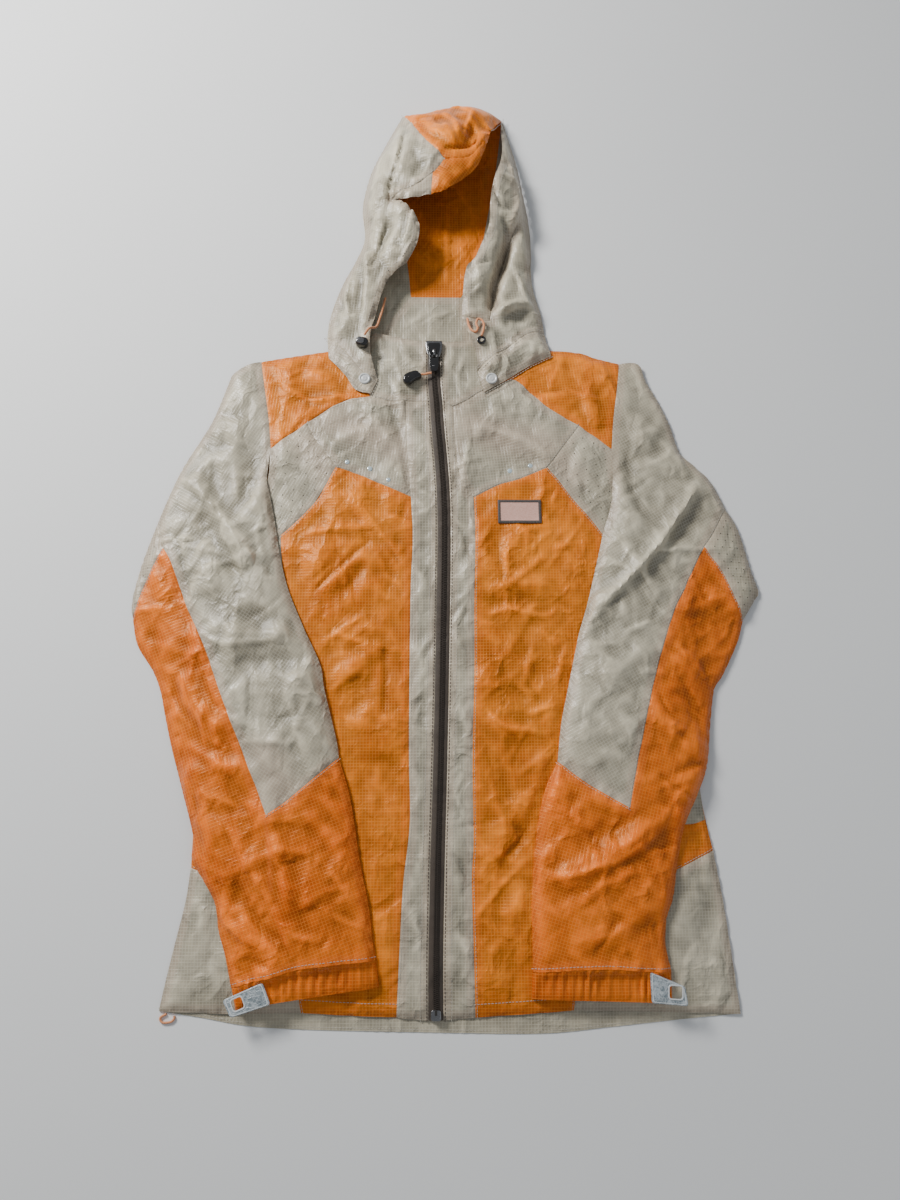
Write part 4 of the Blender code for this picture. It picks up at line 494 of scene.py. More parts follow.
# How the nylon's grid is turned in each piece, in radians, and the pieces of another shade than their slot's
GRAIN = {
    "sleeve_l": 0.55, "sleeve_r": -0.5, "forearm_l": -0.35, "forearm_r": 0.3, "crown": 0.2, "brim_r": 0.6,
    "hood_side_l": 0.12, "hood_side_r": -0.1, "yoke_l": 0.15, "yoke_r": -0.12, "shoulder_l": 0.1,
    "shoulder_r": -0.1, "neck_band_l": 0.6, "neck_band_r": -0.5, "chest_vent_l": 0.5, "chest_vent_r": -0.5,
}
COLOUR = {"forearm_l": "sleeve_orange", "forearm_r": "sleeve_orange"}

ALLOWANCE, ALLOWANCE_TINT = 7.0, 0.32  # the turned edges inside a seam, which show through the thin cloth
SHOW_THROUGH = (  # where else what lies beneath shows through: piece, line, half width, strength
    ("forearm_l", ((-170, -250), (-160, -300), (-155, -350)), 3, 0.6),
    ("yoke_l", ((-115, 135), (-70, 118), (-40, 100)), 34, 0.5),
    ("yoke_r", ((40, 130), (80, 114), (120, 104)), 34, 0.5),
    ("chest_vent_l", ((-140, 110), (-125, 90), (-110, 70)), 30, 0.45),
    ("chest_vent_r", ((110, 120), (130, 95), (145, 70)), 30, 0.5),
    ("sleeve_l", ((-165, -225), (-150, -265), (-150, -290)), 34, 0.45),
    ("sleeve_r", ((110, -240), (140, -260), (160, -285)), 34, 0.45),
)

# Cuffs: points across, rows, gathers, half of the wall, and the seeds of their gathers
CUFF_ROUND, CUFF_ROWS, PLEATS, CUFF_WALL = 150, 13, 34, 0.35
CUFF_SEEDS = {"l": 31, "r": 32}
CUFF_TABS = {  # corners of each tab, and its slot: centre, width, length and turn
    "l": (((-160, -431), (-196, -446), (-188, -461), (-152, -450)), ((-182, -449), 10, 10, 22)),
    "r": (((200, -426), (200, -453), (234, -456), (232, -439)), ((223, -444), 12, 11, -4)),
}

# Cords: the points that each one's middle passes through
HOOD_CORDS = {
    "cord_l": (
        (-54.5, 282, 10.1), (-57, 269, 11.1), (-60, 257, 11.1), (-64, 245, 12.1), (-71, 235, 25.3),
        (-76.3, 228.2, 23.3)),
    "cord_r": (
        (37, 251, 20.3), (38, 243, 21.2), (41, 236, 22.2), (45.5, 233.5, 22.6), (48, 238, 22.4),
        (46.5, 244, 22.1), (48.5, 249.5, 21.8), (53, 248, 21.9), (55, 242, 22.1), (54, 235, 22.3),
        (52, 228.5, 23.0)),
}
HEM_LOOP = (
    (-251, -460.4, 1.3), (-256.5, -463.7, 1.3), (-254.5, -467.7, 1.3), (-247, -467.5, 1.3),
    (-243.5, -464.5, 1.3), (-244, -462.2, 1.3))
PULL_CORD = ((-14.1, 186, 14.9), (-10, 186, 14.9), (-6.5, 187, 15.1), (-3, 187.2, 15.5))
CORD_SIDES = 14

# Fittings: outlines in the plan, and turned profiles of radius and height
SHIELD_LEFT = ((-8.4, 227), (-9.6, 223), (-8.2, 213), (-6.2, 208), (-4.5, 207))
TAB_LEFT = ((-4.4, 213), (-5, 212.4), (-5, 197), (-4.6, 194), (-3.4, 190.3), (-1.5, 189))
BRIDGE_HEIGHT = 4.6  # of the bar over the slider's face
BRIDGE_ROWS, BRIDGE_SIDES = 17, 10
TOGGLE = (
    (-34.5, 177), (-33, 184), (-26, 188.4), (-18.5, 189.4), (-13.6, 183), (-20, 179.2), (-26, 174.6),
    (-31, 174.4), (-34.5, 177))
SNAP_PROFILE = (
    (6.3, 0), (6.5, 0.5), (6.2, 1.3), (5.4, 1.7), (4.7, 1.65), (4.3, 1.1), (3.3, 1.0), (2.8, 1.35),
    (1.6, 1.5), (0.5, 1.3), (0.05, 1.28))
EYELET_PROFILE = (
    (5.0, 0), (5.0, 0.5), (4.5, 1.15), (3.6, 1.5), (2.7, 1.2), (2.1, 0.5), (1.95, -0.3), (1.9, -0.6),
    (1.9, -0.7), (5.0, -0.05))
ROUND_STEPS = 5  # faces round a rectangle's round corner
PATCH, PATCH_BORDER = ((67, 16), (113, 42)), 2.6  # its corners, and its border's width
DOTS = ((-69, 77, 2.9), (-93, 84, 2.6), (-49, 64, 2.4), (81, 75, 2.7), (103, 81, 2.7))  # centre and radius

# What repeats: the sizes of one copy in metres, and the pitch from one to the next
STITCH = {"Pitch": 0.0033, "Across": 0.0005, "Height": 0.00035, "Along": 0.0022}
ZIP_STITCH = {"Pitch": 0.0036, "Across": 0.0008, "Height": 0.0004, "Along": 0.0024}
TOOTH = {"Pitch": 0.0018, "Across": 0.0028, "Height": 0.0012, "Along": 0.0011}
PERFORATION = {"Radius": 0.00062, "Height": 0.00025}
TEETH_FROM, TEETH_TO = -458, 206  # the teeth's ends along the zip
TEETH_ROWS = ((-1.05, 0.0), (1.05, 0.9))  # each row's distance from the middle, and its shift
STITCHED = {  # lines of stitches: layer, curve, and the distances to the left of it
    "front": (
        ("zip_low_l", (1.6, 7.5)), ("zip_low_r", (-1.6, -7.5)), ("placket_l", (1.8,)), ("placket_r", (1.8,)),
        ("yoke_low_l", (1.6,)), ("yoke_low_r", (-1.6,)), ("vent_seam_l", (1.6,)), ("vent_seam_r", (-1.6,)),
        ("vent_low_l", (1.6,)), ("vent_low_r", (-1.6,)), ("hem_front_l", (-12,)), ("hem_front_r", (12,)),
        ("neck_l", (1.6,)), ("neck_r", (-1.6,)), ("shoulder_low_l", (1.6,)), ("shoulder_low_r", (-1.6,)),
        ("tail_low_l", (1.6,)), ("tail_low_r", (-1.6,)), ("zip_top_l", (1.6,)), ("zip_top_r", (-1.6,)),
    ),
    "sleeve": (
        ("sleeve_v_l", (-1.6,)), ("sleeve_v_r", (1.6,)), ("tip_in_l", (1.6,)), ("tip_in_r", (-1.6,)),
        ("tip_out_l", (1.4,)), ("tip_out_r", (-1.4,)), ("tip_top_l", (-1.4,)), ("tip_top_r", (1.4,)),
        ("cuff_top_l", (3.0,)), ("cuff_top_r", (-3.0,)),
    ),
    "hood": (
        ("band_seam_l", (1.7, 3.6, -2.0)), ("band_seam_r", (1.7, 3.6, -2.0)), ("tab_low_l", (-2.2,)),
        ("tab_low_r", (2.2,)), ("tab_end_l", (2.0,)), ("tab_end_r", (2.0,)), ("crown_seam_l", (-1.6,)),
        ("crown_seam_r", (1.6,)), ("face_l", (-6.0,)), ("face_r", (8.0,)), ("tunnel_seam", (1.6,)),
        ("brim_crease_l", (1.6,)),
    ),
    "floor": (("facing_top", (-1.6,)), ("hem_back", (2.4,))),
}
VENTED = {  # pieces with rows of small holes: pitch, and the rows' turn in degrees
    "chest_vent_l": (13, 28), "chest_vent_r": (13, -28), "elbow_vent_r": (9, -60), "elbow_vent_l": (9, 60),
}

# The nylon's finish
SQUARE = 3.1  # millimetres between the grid's heavier threads
GRID_SHARE, THREAD_DEPTH = 0.38, 0.00012  # how strongly the grid shows, and how far it stands up, in metres
FACETS_WITH_PAINTED_LIGHT = (  # creased facets, painted light and shade: scale, turn, darkest and lightest painted level, height
    (34.0, 0.6, 0.80, 1.12, 1.0), (78.0, -0.5, 0.88, 1.08, 0.34))
BEND = 0.022  # metres by which the facets' edges are bent
CRINKLE_DEPTH, RIDGE_SHARE = 0.007, 0.16
PAINTED_HOLLOW_SHADE_AND_CREST_LIGHT = (0.64, 1.26)  # painted shade in a fold's hollow and painted light on its crest
STRANDS = (8.0, 6.0)  # a cord's strands round it, and along a stretch as long as it is round

# The photograph's camera, and the light: each lamp's place, size, watts and tint. Lamps point at the origin.
LENS, SENSOR = 26.1, 36
VIEW_FROM = (-0.00845, -0.27257, 0.885)
VIEW_RIGHT = (0.99964, -0.00694, 0.02598)
VIEW_UP = (0.00081, 0.97340, 0.22909)
SKY, SKY_STRENGTH = (0.93, 0.96, 1.0), 0.30
LAMPS = (
    ("key", (-1.2, 1.05, 1.05), (0.6, 0.45), 52.0, (1.0, 0.975, 0.94)),
    ("fill", (1.5, -0.7, 1.5), (1.5, 1.5), 3.5, (0.95, 0.97, 1.0)),
)
FLOOR_REACH = 4  # metres to each side


def linked(name, data):
    """A new object in the scene."""
    made = bpy.data.objects.new(name, data)
    bpy.context.scene.collection.objects.link(made)
    return made


# The photograph's camera, and the light


def set_up_camera():
    data = bpy.data.cameras.new("camera")
    data.lens, data.sensor_width = LENS, SENSOR
    right, up = Vector(VIEW_RIGHT).normalized(), Vector(VIEW_UP).normalized()
    back = right.cross(up).normalized()
    turn = Matrix((right, back.cross(right), back)).transposed()
    camera = linked("camera", data)
    camera.matrix_world = Matrix.Translation(VIEW_FROM) @ turn.to_4x4()
    bpy.context.scene.camera = camera


def set_up_studio():
    """A pale floor, one lamp low from the upper left, and a faint fill from the lower right."""
    world = bpy.data.worlds.new("studio")
    world.use_nodes = True
    back = world.node_tree.nodes["Background"]
    back.inputs["Color"].default_value = (*SKY, 1)
    back.inputs["Strength"].default_value = SKY_STRENGTH
    bpy.context.scene.world = world
    for name, place, size, power, tint in LAMPS:
        data = bpy.data.lights.new(name, "AREA")
        data.shape = "RECTANGLE"
        data.size, data.size_y = size
        data.energy, data.color = power, tint
        lamp = linked(name, data)
        lamp.location = place
        lamp.rotation_euler = (-Vector(place)).to_track_quat("-Z", "Y").to_euler()
    corners = [(x * FLOOR_REACH, y * FLOOR_REACH, 0) for x, y in ((-1, -1), (1, -1), (1, 1), (-1, 1))]
    mesh = bpy.data.meshes.new("floor")
    mesh.from_pydata(corners, [], [(0, 1, 2, 3)])
    mesh.materials.append(MATERIAL["floor"])
    linked("floor", mesh)


# Materials


class Nodes:
    """A material's nodes, wired in the order in which they are named."""

    def __init__(self, name):
        self.material = bpy.data.materials.new(name)
        self.material.use_nodes = True
        self.tree = self.material.node_tree
        self.shader = self.tree.nodes["Principled BSDF"]

    def set(self, **values):
        """Sets the shader's own sockets, each named in lower case with _ for a space."""
        for name, value in values.items():
            self.shader.inputs[name.replace("_", " ").title().replace("Ior", "IOR")].default_value = value

    def add(self, kind, inputs, **settings):
        node = self.tree.nodes.new(kind)
        for name, value in settings.items():
            setattr(node, name, value)
        for key, value in inputs.items():
            self.feed(node.inputs[key], value)
        return node

    def feed(self, socket, value):
        if isinstance(value, bpy.types.NodeSocket):
            self.tree.links.new(value, socket)
        else:
            socket.default_value = value

    def math(self, operation, a, b=0.0, c=0.0):
        return self.add("ShaderNodeMath", {0: a, 1: b, 2: c}, operation=operation).outputs[0]

    def times(self, a, b):
        return self.math("MULTIPLY", a, b)

    def plus(self, a, b):
        return self.math("ADD", a, b)

    def shared(self, a, share, b):
        """Share of a, and the rest b."""
        return self.math("MULTIPLY_ADD", a, share, self.times(b, 1 - share))

    def halved(self, wave):
        """A wave from -1 to 1 as a level from 0 to 1."""
        return self.math("MULTIPLY_ADD", wave, 0.5, 0.5)

    def place(self):
        return self.add("ShaderNodeTexCoord", {}).outputs["Object"]

    def attribute(self, name):
        return self.add("ShaderNodeAttribute", {}, attribute_name=name).outputs["Fac"]

    def axes(self, where):
        return self.add("ShaderNodeSeparateXYZ", {0: where}).outputs

    def noise(self, where, scale, detail=2.0, rough=0.5, warp=0.0):
        made = self.add("ShaderNodeTexNoise", {
            "Vector": where, "Scale": scale, "Detail": detail, "Roughness": rough, "Distortion": warp})
        return made.outputs["Fac"]

    def between(self, value, low, high, to_low, to_high):
        """A value's range from low to high, stretched to another range and held inside it."""
        made = self.add("ShaderNodeMapRange", {
            "Value": value, "From Min": low, "From Max": high, "To Min": to_low, "To Max": to_high})
        return made.outputs["Result"]

    def mix(self, share, a, b, blend="MIX"):
        node = self.add("ShaderNodeMix", {0: share}, data_type="RGBA", blend_type=blend)
        for key, value in ((6, a), (7, b)):
            self.feed(node.inputs[key], (*value, 1) if isinstance(value, tuple) else value)
        return node.outputs[2]

    def shaded(self, colour, level):
        """A colour made darker or lighter by a level."""
        grey = self.add("ShaderNodeCombineColor", {0: level, 1: level, 2: level}).outputs[0]
        return self.mix(1.0, colour, grey, "MULTIPLY")

    def bump(self, height, distance, strength=1.0, **below):
        inputs = {"Height": height, "Distance": distance, "Strength": strength, **below}
        return self.add("ShaderNodeBump", inputs).outputs["Normal"]

    def finish(self, colour, rough, normal):
        for name, value in (("Base Color", colour), ("Roughness", rough), ("Normal", normal)):
            self.tree.links.new(value, self.shader.inputs[name])
        return self.material


def ripstop(name, shade, light, line, tint, gleam):
    """Thin nylon with a raised grid of heavier threads, crumpled, faintly uneven in colour, with painted
    light and shade.

    Each cloth's attributes turn the grid (grain), paint shade into its hollows and light onto its crests
    (fold), and tint it where what lies beneath shows through (show).
    """
    n = Nodes(name)
    place = n.place()
    turned = n.add("ShaderNodeVectorRotate", {"Vector": place, "Angle": n.attribute("grain")},
                   rotation_type="Z_AXIS").outputs[0]
    threads = []
    for across in n.axes(turned)[:2]:
        from_thread = n.math("SUBTRACT", n.math("FRACT", n.times(across, 1000 / SQUARE)), 0.5)
        threads.append(n.between(n.math("ABSOLUTE", from_thread), 0.34, 0.47, 0.0, 1.0))
    grid = n.math("MAXIMUM", *threads)
    mottle = n.shared(n.noise(place, 95, 3.0, 0.6), 0.35, n.noise(place, 14, 3.0, 0.55, 0.4))
    colour = n.mix(n.between(mottle, 0.36, 0.64, 0.0, 1.0), shade, light)

    bent = n.add("ShaderNodeTexNoise", {"Vector": place, "Scale": 26.0, "Detail": 2.0}).outputs["Color"]
    bent = n.add("ShaderNodeVectorMath", {0: bent, 3: BEND}, operation="SCALE").outputs[0]
    bent = n.add("ShaderNodeVectorMath", {0: place, 1: bent}, operation="ADD").outputs[0]
    crinkles = []
    for scale, turn, darkest, lightest, height in FACETS_WITH_PAINTED_LIGHT:
        pulled = n.add("ShaderNodeMapping", {
            "Vector": bent, "Rotation": (0, 0, turn), "Scale": (1, 0.5, 1)}).outputs[0]
        cells = {"Vector": pulled, "Scale": scale}
        facet = n.add("ShaderNodeTexVoronoi", cells).outputs["Color"]
        edge = n.add("ShaderNodeTexVoronoi", cells, feature="DISTANCE_TO_EDGE").outputs["Distance"]
        tone = n.add("ShaderNodeSeparateColor", {0: facet}).outputs[0]
        # Painted light and shade: each facet is painted darker or lighter, as if it caught the lamp
        # differently; the same cells also give the bump
        facet_painted_light = n.shaded(colour, n.between(tone, 0.0, 1.0, darkest, lightest))
        colour = n.mix(n.between(edge, 0.0, 0.10, 0.0, 1.0), colour, facet_painted_light)
        crinkles.append(n.times(n.times(edge, n.between(tone, 0.0, 1.0, -0.5, 1.0)), height))

    # Painted shade and light: the hollows of the cloth's folds are darkened and their crests lightened
    colour = n.shaded(colour, n.between(n.attribute("fold"), -0.8, 0.9, *PAINTED_HOLLOW_SHADE_AND_CREST_LIGHT))
    colour = n.mix(n.attribute("show"), colour, tint)
    colour = n.mix(n.times(grid, GRID_SHARE), colour, line)
    ridges = n.add("ShaderNodeTexNoise", {
        "Vector": bent, "Scale": 42.0, "Detail": 3.0, "Roughness": 0.5, "Lacunarity": 2.1, "Offset": 0.9,
        "Gain": 1.6, "Distortion": 0.25}, noise_type="RIDGED_MULTIFRACTAL", normalize=False).outputs["Fac"]
    patches = n.between(n.noise(place, 18, 2.0), 0.40, 0.62, 0.10, 1.0)
    ridges = n.times(ridges, n.times(patches, RIDGE_SHARE))
    crumple = n.bump(n.plus(n.plus(*crinkles), ridges), CRINKLE_DEPTH)
    normal = n.bump(grid, THREAD_DEPTH, 0.8, Normal=crumple)
    rough = n.between(n.noise(place, 60, 2.0), 0.3, 0.7, 0.30, 0.44)
    n.set(sheen_weight=0.03, sheen_roughness=0.35, specular_ior_level=0.48, specular_tint=(*gleam, 1))
    return n.finish(colour, rough, normal)


def moulded(name, colour, rough, metallic=0.0, wear=0.4, coat=0.0):
    """A moulded or cast fitting: its colour a little uneven, its surface slightly pitted and scuffed."""
    n = Nodes(name)
    place = n.place()
    dull = tuple(min(1.0, part * 1.7 + 0.012) for part in colour)
    scuff = n.between(n.noise(place, 900, 3.0, 0.65), 0.52, 0.72, 0.0, wear)
    shades = n.mix(n.noise(place, 260, 2.0), colour, tuple(part * 0.8 for part in colour))
    n.set(metallic=metallic, coat_weight=coat, coat_roughness=0.12)
    uneven = n.between(n.noise(place, 420, 3.0), 0.3, 0.7, rough * 0.8, min(1.0, rough * 1.35))
    pits = n.bump(n.noise(place, 2200, 2.0), 0.00006, 0.6)
    return n.finish(n.mix(scuff, shades, dull), uneven, pits)


def braided(name, dark, light):
    """A round braided cord: strands cross in both directions, and run along its own UV map."""
    n = Nodes(name)
    round_it, along_it, _ = n.axes(n.add("ShaderNodeUVMap", {}).outputs[0])
    strands = []
    for way in (1, -1):
        run = n.plus(n.times(round_it, STRANDS[0]), n.times(along_it, way * STRANDS[1]))
        strands.append(n.math("SINE", n.times(run, 2 * math.pi)))
    weave = n.halved(n.math("MAXIMUM", *strands))
    fuzz = n.noise(n.place(), 1500, 2.0)
    share = n.shared(fuzz, 0.4, weave)
    n.set(sheen_weight=0.3, sheen_roughness=0.5)
    rough = n.between(fuzz, 0.3, 0.7, 0.55, 0.75)
    return n.finish(n.mix(share, dark, light), rough, n.bump(share, 0.0003, 0.8))


def woven_tape(name, dark, light):
    """The zip's woven tape: fine ribs along and across it."""
    n = Nodes(name)
    place = n.place()
    x, y, _ = n.axes(place)
    ribs, across = (
        n.math("SINE", n.times(axis, 2 * math.pi / pitch)) for axis, pitch in ((y, 0.0011), (x, 0.0008)))
    weave = n.halved(n.times(ribs, across))
    share = n.shared(n.noise(place, 70, 3.0), 0.6, weave)
    n.set(sheen_weight=0.15, sheen_roughness=0.5)
    rough = n.between(share, 0.2, 0.8, 0.5, 0.7)
    return n.finish(n.mix(share, dark, light), rough, n.bump(weave, 0.00015, 0.8))


def foiled(name, dark, light):
    """The cuff tabs' silvery film, creased and mottled."""
    n = Nodes(name)
    place = n.place()
    spots = n.between(n.noise(place, 150, 4.0, 0.65, 1.2), 0.4, 0.62, 0.0, 1.0)
    crackle = n.add("ShaderNodeTexVoronoi", {"Vector": place, "Scale": 260.0}, feature="DISTANCE_TO_EDGE")
    edges = n.between(crackle.outputs["Distance"], 0.0, 0.12, 1.0, 0.0)
    colour = n.mix(n.times(edges, 0.35), n.mix(spots, dark, light), (0.86, 0.9, 0.92))
    n.set(metallic=0.35)
    rough = n.between(spots, 0.0, 1.0, 0.5, 0.28)
    return n.finish(colour, rough, n.bump(n.plus(spots, edges), 0.00025, 0.7))


def felted(name, dark, light, scale=2500.0):
    """Sewing thread, the close woven cloth of a patch, and the near-black painted shade inside holes."""
    n = Nodes(name)
    fibres = n.noise(n.place(), scale, 3.0, 0.6, 0.5)
    n.set(sheen_weight=0.25, sheen_roughness=0.5)
    colour = n.mix(n.between(fibres, 0.3, 0.7, 0.0, 1.0), dark, light)
    return n.finish(colour, n.between(fibres, 0.3, 0.7, 0.55, 0.8), n.bump(fibres, 0.00015, 0.7))


def pale_floor():
    n = Nodes("floor")
    place = n.place()
    tone = n.noise(place, 3.0, 3.0)
    colour = n.mix(tone, (0.80, 0.82, 0.84), (0.84, 0.86, 0.87))
    return n.finish(colour, n.between(tone, 0, 1, 0.7, 0.8), n.bump(n.noise(place, 900, 2.0), 0.00005, 0.3))


def make_materials():
    glow = (1.0, 0.62, 0.32)
    return {
        "floor": pale_floor(),
        "orange": ripstop(
            "orange_nylon", shade=(0.56, 0.115, 0.004), light=(0.90, 0.245, 0.013),
            line=(0.95, 0.38, 0.07), tint=(0.85, 0.17, 0.02), gleam=glow),
        "sleeve_orange": ripstop(
            "sleeve_nylon", shade=(0.56, 0.090, 0.003), light=(0.88, 0.190, 0.011),
            line=(0.95, 0.33, 0.06), tint=(0.90, 0.18, 0.03), gleam=glow),
        "beige": ripstop(
            "beige_nylon", shade=(0.35, 0.31, 0.225), light=(0.53, 0.485, 0.365),
            line=(0.66, 0.63, 0.51), tint=(0.56, 0.42, 0.32), gleam=(1.0, 1.0, 1.0)),
        "zip": woven_tape("zip_tape", (0.030, 0.022, 0.017), (0.085, 0.062, 0.045)),
        "teeth": moulded("zip_teeth", (0.035, 0.026, 0.02), 0.35),
        "black": moulded("black_gloss", (0.012, 0.012, 0.013), 0.16, coat=0.5),
        "chrome": moulded("slider_metal", (0.30, 0.30, 0.31), 0.22, metallic=1.0),
        "pale": moulded("snap_enamel", (0.66, 0.68, 0.68), 0.3, wear=0.25, coat=0.3),
        "silver": foiled("silver_film", (0.22, 0.27, 0.30), (0.55, 0.62, 0.66)),
        "rim": moulded("raised_rim", (0.72, 0.76, 0.78), 0.35, wear=0.3),
        "cord": braided("round_cord", (0.55, 0.11, 0.02), (0.86, 0.42, 0.20)),
        "patch": felted("patch_field", (0.60, 0.33, 0.26), (0.74, 0.46, 0.38), 700.0),
        "patch_rim": felted("patch_border", (0.035, 0.03, 0.03), (0.10, 0.085, 0.08), 700.0),
        "thread": felted("pale_thread", (0.36, 0.33, 0.27), (0.62, 0.58, 0.50)),
        "dark_thread": felted("dark_thread", (0.05, 0.035, 0.03), (0.12, 0.08, 0.06)),
        # painted shade: near-black for the shadow inside the vents' holes and the zip box's slot
        "hole": felted("hole_shade", (0.010, 0.008, 0.007), (0.02, 0.017, 0.015)),
        "glint": moulded("glass_dot", (0.66, 0.80, 0.86), 0.12, metallic=0.3, coat=1.0),
    }


# Lines and outlines


def smooth(points, step):
    """Points about step apart along a smooth curve through the given ones."""
    p = np.array(points, float)
    p = np.vstack([2 * p[0] - p[1], p, 2 * p[-1] - p[-2]])
    out = []
    for a, b, c, d in zip(p, p[1:], p[2:], p[3:]):
        count = max(1, round(float(np.linalg.norm(c - b)) / step))
        square, cube = 2 * a - 5 * b + 4 * c - d, 3 * b - a - 3 * c + d
        for t in np.arange(count) / count:
            out.append(0.5 * (2 * b + (c - a) * t + square * t**2 + cube * t**3))
    return np.array(out + [p[-2]])


SAMPLED = {name: smooth(points, 9) for name, points in CURVES.items()}


def run_of(names, step):
    """Each of the named curves in turn. A minus sign runs a curve backwards."""
    for name in names.split():
        curve = smooth(CURVES[name.lstrip("-")], step)
        yield curve[::-1] if name[0] == "-" else curve


def outline(names, step):
    """The closed loop of the named curves, counterclockwise, with points about step apart."""
    points = np.vstack([curve[:-1] for curve in run_of(names, step)])
    return points if doubled_area(points) > 0 else points[::-1]


def doubled_area(loop):
    """Twice the area of a loop, negative where it runs clockwise."""
    x, y = loop.T
    return np.sum(x * np.roll(y, -1) - np.roll(x, -1) * y)


def closed(loop):
    return np.vstack([loop, loop[:1]])


def unit(ways):
    """Directions, each made 1 long."""
    return ways / np.linalg.norm(ways, axis=1, keepdims=True)


def to_left(line, gap):
    """A line in the plan, moved to its left."""
    way = unit(np.gradient(line, axis=0))
    return line + np.column_stack([-way[:, 1], way[:, 0]]) * gap


def inside(x, y, loop):
    """Whether each place lies inside the loop."""
    odd = np.zeros(np.shape(x), bool)
    for (ax, ay), (bx, by) in zip(loop, np.roll(loop, -1, axis=0)):
        if ay != by:
            odd ^= ((ay > y) != (by > y)) & (x < (bx - ax) * (y - ay) / (by - ay) + ax)
    return odd


def nearest(x, y, line):
    """Distance from each place to a line of points, how far along the line that is, and its length."""
    best = np.full(np.shape(x), 1e9)
    along = np.zeros(np.shape(x))
    run = 0.0
    for (ax, ay), (bx, by) in zip(line, line[1:]):
        length = math.hypot(bx - ax, by - ay)
        t = np.clip(((x - ax) * (bx - ax) + (y - ay) * (by - ay)) / length**2, 0, 1)
        gap = np.hypot(x - ax - t * (bx - ax), y - ay - t * (by - ay))
        along = np.where(gap < best, run + t * length, along)
        best = np.minimum(best, gap)
        run += length
    return best, along, run


def window(points, reach):
    """The rows and columns of the plan grid within reach of the points."""
    low, high = np.min(points, axis=0) - reach, np.max(points, axis=0) + reach + GRID
    spans = []
    for axis, lines in ((1, GRID_Y), (0, GRID_X)):
        ends = (int(np.clip((end[axis] - lines[0]) / GRID, 0, len(lines))) for end in (low, high))
        spans.append(slice(*ends))
    return tuple(spans)


def to_edges(names):
    """Distance on the plan grid to the nearest of the named curves, up to EDGE_REACH."""
    best = np.full(PLAN[0].shape, EDGE_REACH)
    for name in names:
        near = window(SAMPLED[name], EDGE_REACH)
        gap = nearest(PLAN[0][near], PLAN[1][near], SAMPLED[name])[0]
        best[near] = np.minimum(best[near], gap)
    return best


def ease(t):
    """From 0 to 1 as t does, level at both ends."""
    t = np.clip(t, 0, 1)
    return t * t * (3 - 2 * t)


def turned_over(edge):
    """From 0 at a folded edge to 1 at ROLL from it, upright at first, as cloth turns over."""
    return np.sqrt(1 - (1 - np.clip(edge / ROLL, 0, 1)) ** 2)


def spread(values, reach):
    """The highest value within reach of each place."""
    out = values.copy()
    for _ in range(round(reach / GRID)):
        for axis in (0, 1):
            for shift in (1, -1):
                out = np.maximum(out, np.roll(out, shift, axis))
    return out


def soften(values, rounds):
    for _ in range(rounds):
        for axis in (0, 1):
            values = (np.roll(values, 1, axis) + 2 * values + np.roll(values, -1, axis)) / 4
    return values


def drape(below):
    """Height of the middle of a cloth laid over middles at these heights (0 is the bare floor)."""
    need = np.where(below > 0, below + TOUCH, FLOOR_CLOTH)
    return np.maximum(soften(spread(need, 6), 12), need)


def read(grid, x, y):
    """A plan grid's value at each place."""
    u = np.clip((np.asarray(x) - GRID_X[0]) / GRID, 0, len(GRID_X) - 1.001)
    v = np.clip((np.asarray(y) - GRID_Y[0]) / GRID, 0, len(GRID_Y) - 1.001)
    i, j = u.astype(int), v.astype(int)
    u, v = u - i, v - j
    low = grid[j, i] * (1 - u) + grid[j, i + 1] * u
    high = grid[j + 1, i] * (1 - u) + grid[j + 1, i + 1] * u
    return low * (1 - v) + high * v


# Folds, creases and crumpling


def crease(total, line, half, height, sharp=True, end=FOLD_END):
    """Adds one crease to a grid: soft like a wave, or sharp like a pinched fold."""
    points = smooth(line, 6)
    near = window(points, half * (3 if sharp else 1))
    gap, along, run = nearest(PLAN[0][near], PLAN[1][near], points)
    end = min(end, run / 2)
    ends = ease(along / end) * ease((run - along) / end)
    if sharp:
        ahead = points[-1] - points[0]
        right = (PLAN[0][near] - points[0][0]) * ahead[1] > (PLAN[1][near] - points[0][1]) * ahead[0]
        gap = np.where(right, gap * STEEPER, gap)
        profile = np.exp(-1.6 * gap / half) * (1 - ease(gap / (3 * half)))
    else:
        profile = 1 - ease(gap / half)
    total[near] += height * ends * profile


def uneven(seed, width):
    """Smooth unevenness with hills about twice width across, its spread 1."""
    field = np.random.default_rng(seed).standard_normal(PLAN[0].shape)
    across = np.fft.rfftfreq(field.shape[1], GRID)
    along = np.fft.fftfreq(field.shape[0], GRID)[:, None]
    kept = np.exp(-2 * (math.pi * width) ** 2 * (across**2 + along**2))
    field = np.fft.irfft2(np.fft.rfft2(field) * kept, field.shape)
    return field / field.std()


def faceted(seed, size):
    """Flat facets that meet in straight creases: 0 along the creases, up to about 1 between them."""
    rng = np.random.default_rng(seed)
    x, y = PLAN[0] + 4 * uneven(seed, 25), PLAN[1] + 4 * uneven(seed + 500, 25)
    margin = 4  # cells beyond the grid, so that each place has its neighbours
    i, j = (((at - start) // size).astype(int) + margin for at, start in ((x, GRID_X[0]), (y, GRID_Y[0])))
    shape = (int(j.max()) + margin + 1, int(i.max()) + margin + 1)
    shift_x, shift_y = rng.uniform(0, 1, shape), rng.uniform(0, 1, shape)
    first, second = np.full(x.shape, 1e9), np.full(x.shape, 1e9)
    for down in range(-2, 3):
        for right in range(-2, 3):
            row, column = np.maximum(j + down, 0), np.maximum(i + right, 0)
            seed_x = GRID_X[0] + (column - margin + shift_x[row, column]) * size
            seed_y = GRID_Y[0] + (row - margin + shift_y[row, column]) * size
            gap = np.hypot(x - seed_x, y - seed_y)
            second = np.minimum(second, np.maximum(first, gap))
            first = np.minimum(first, gap)
    return np.minimum((second - first) / size, 0.9)


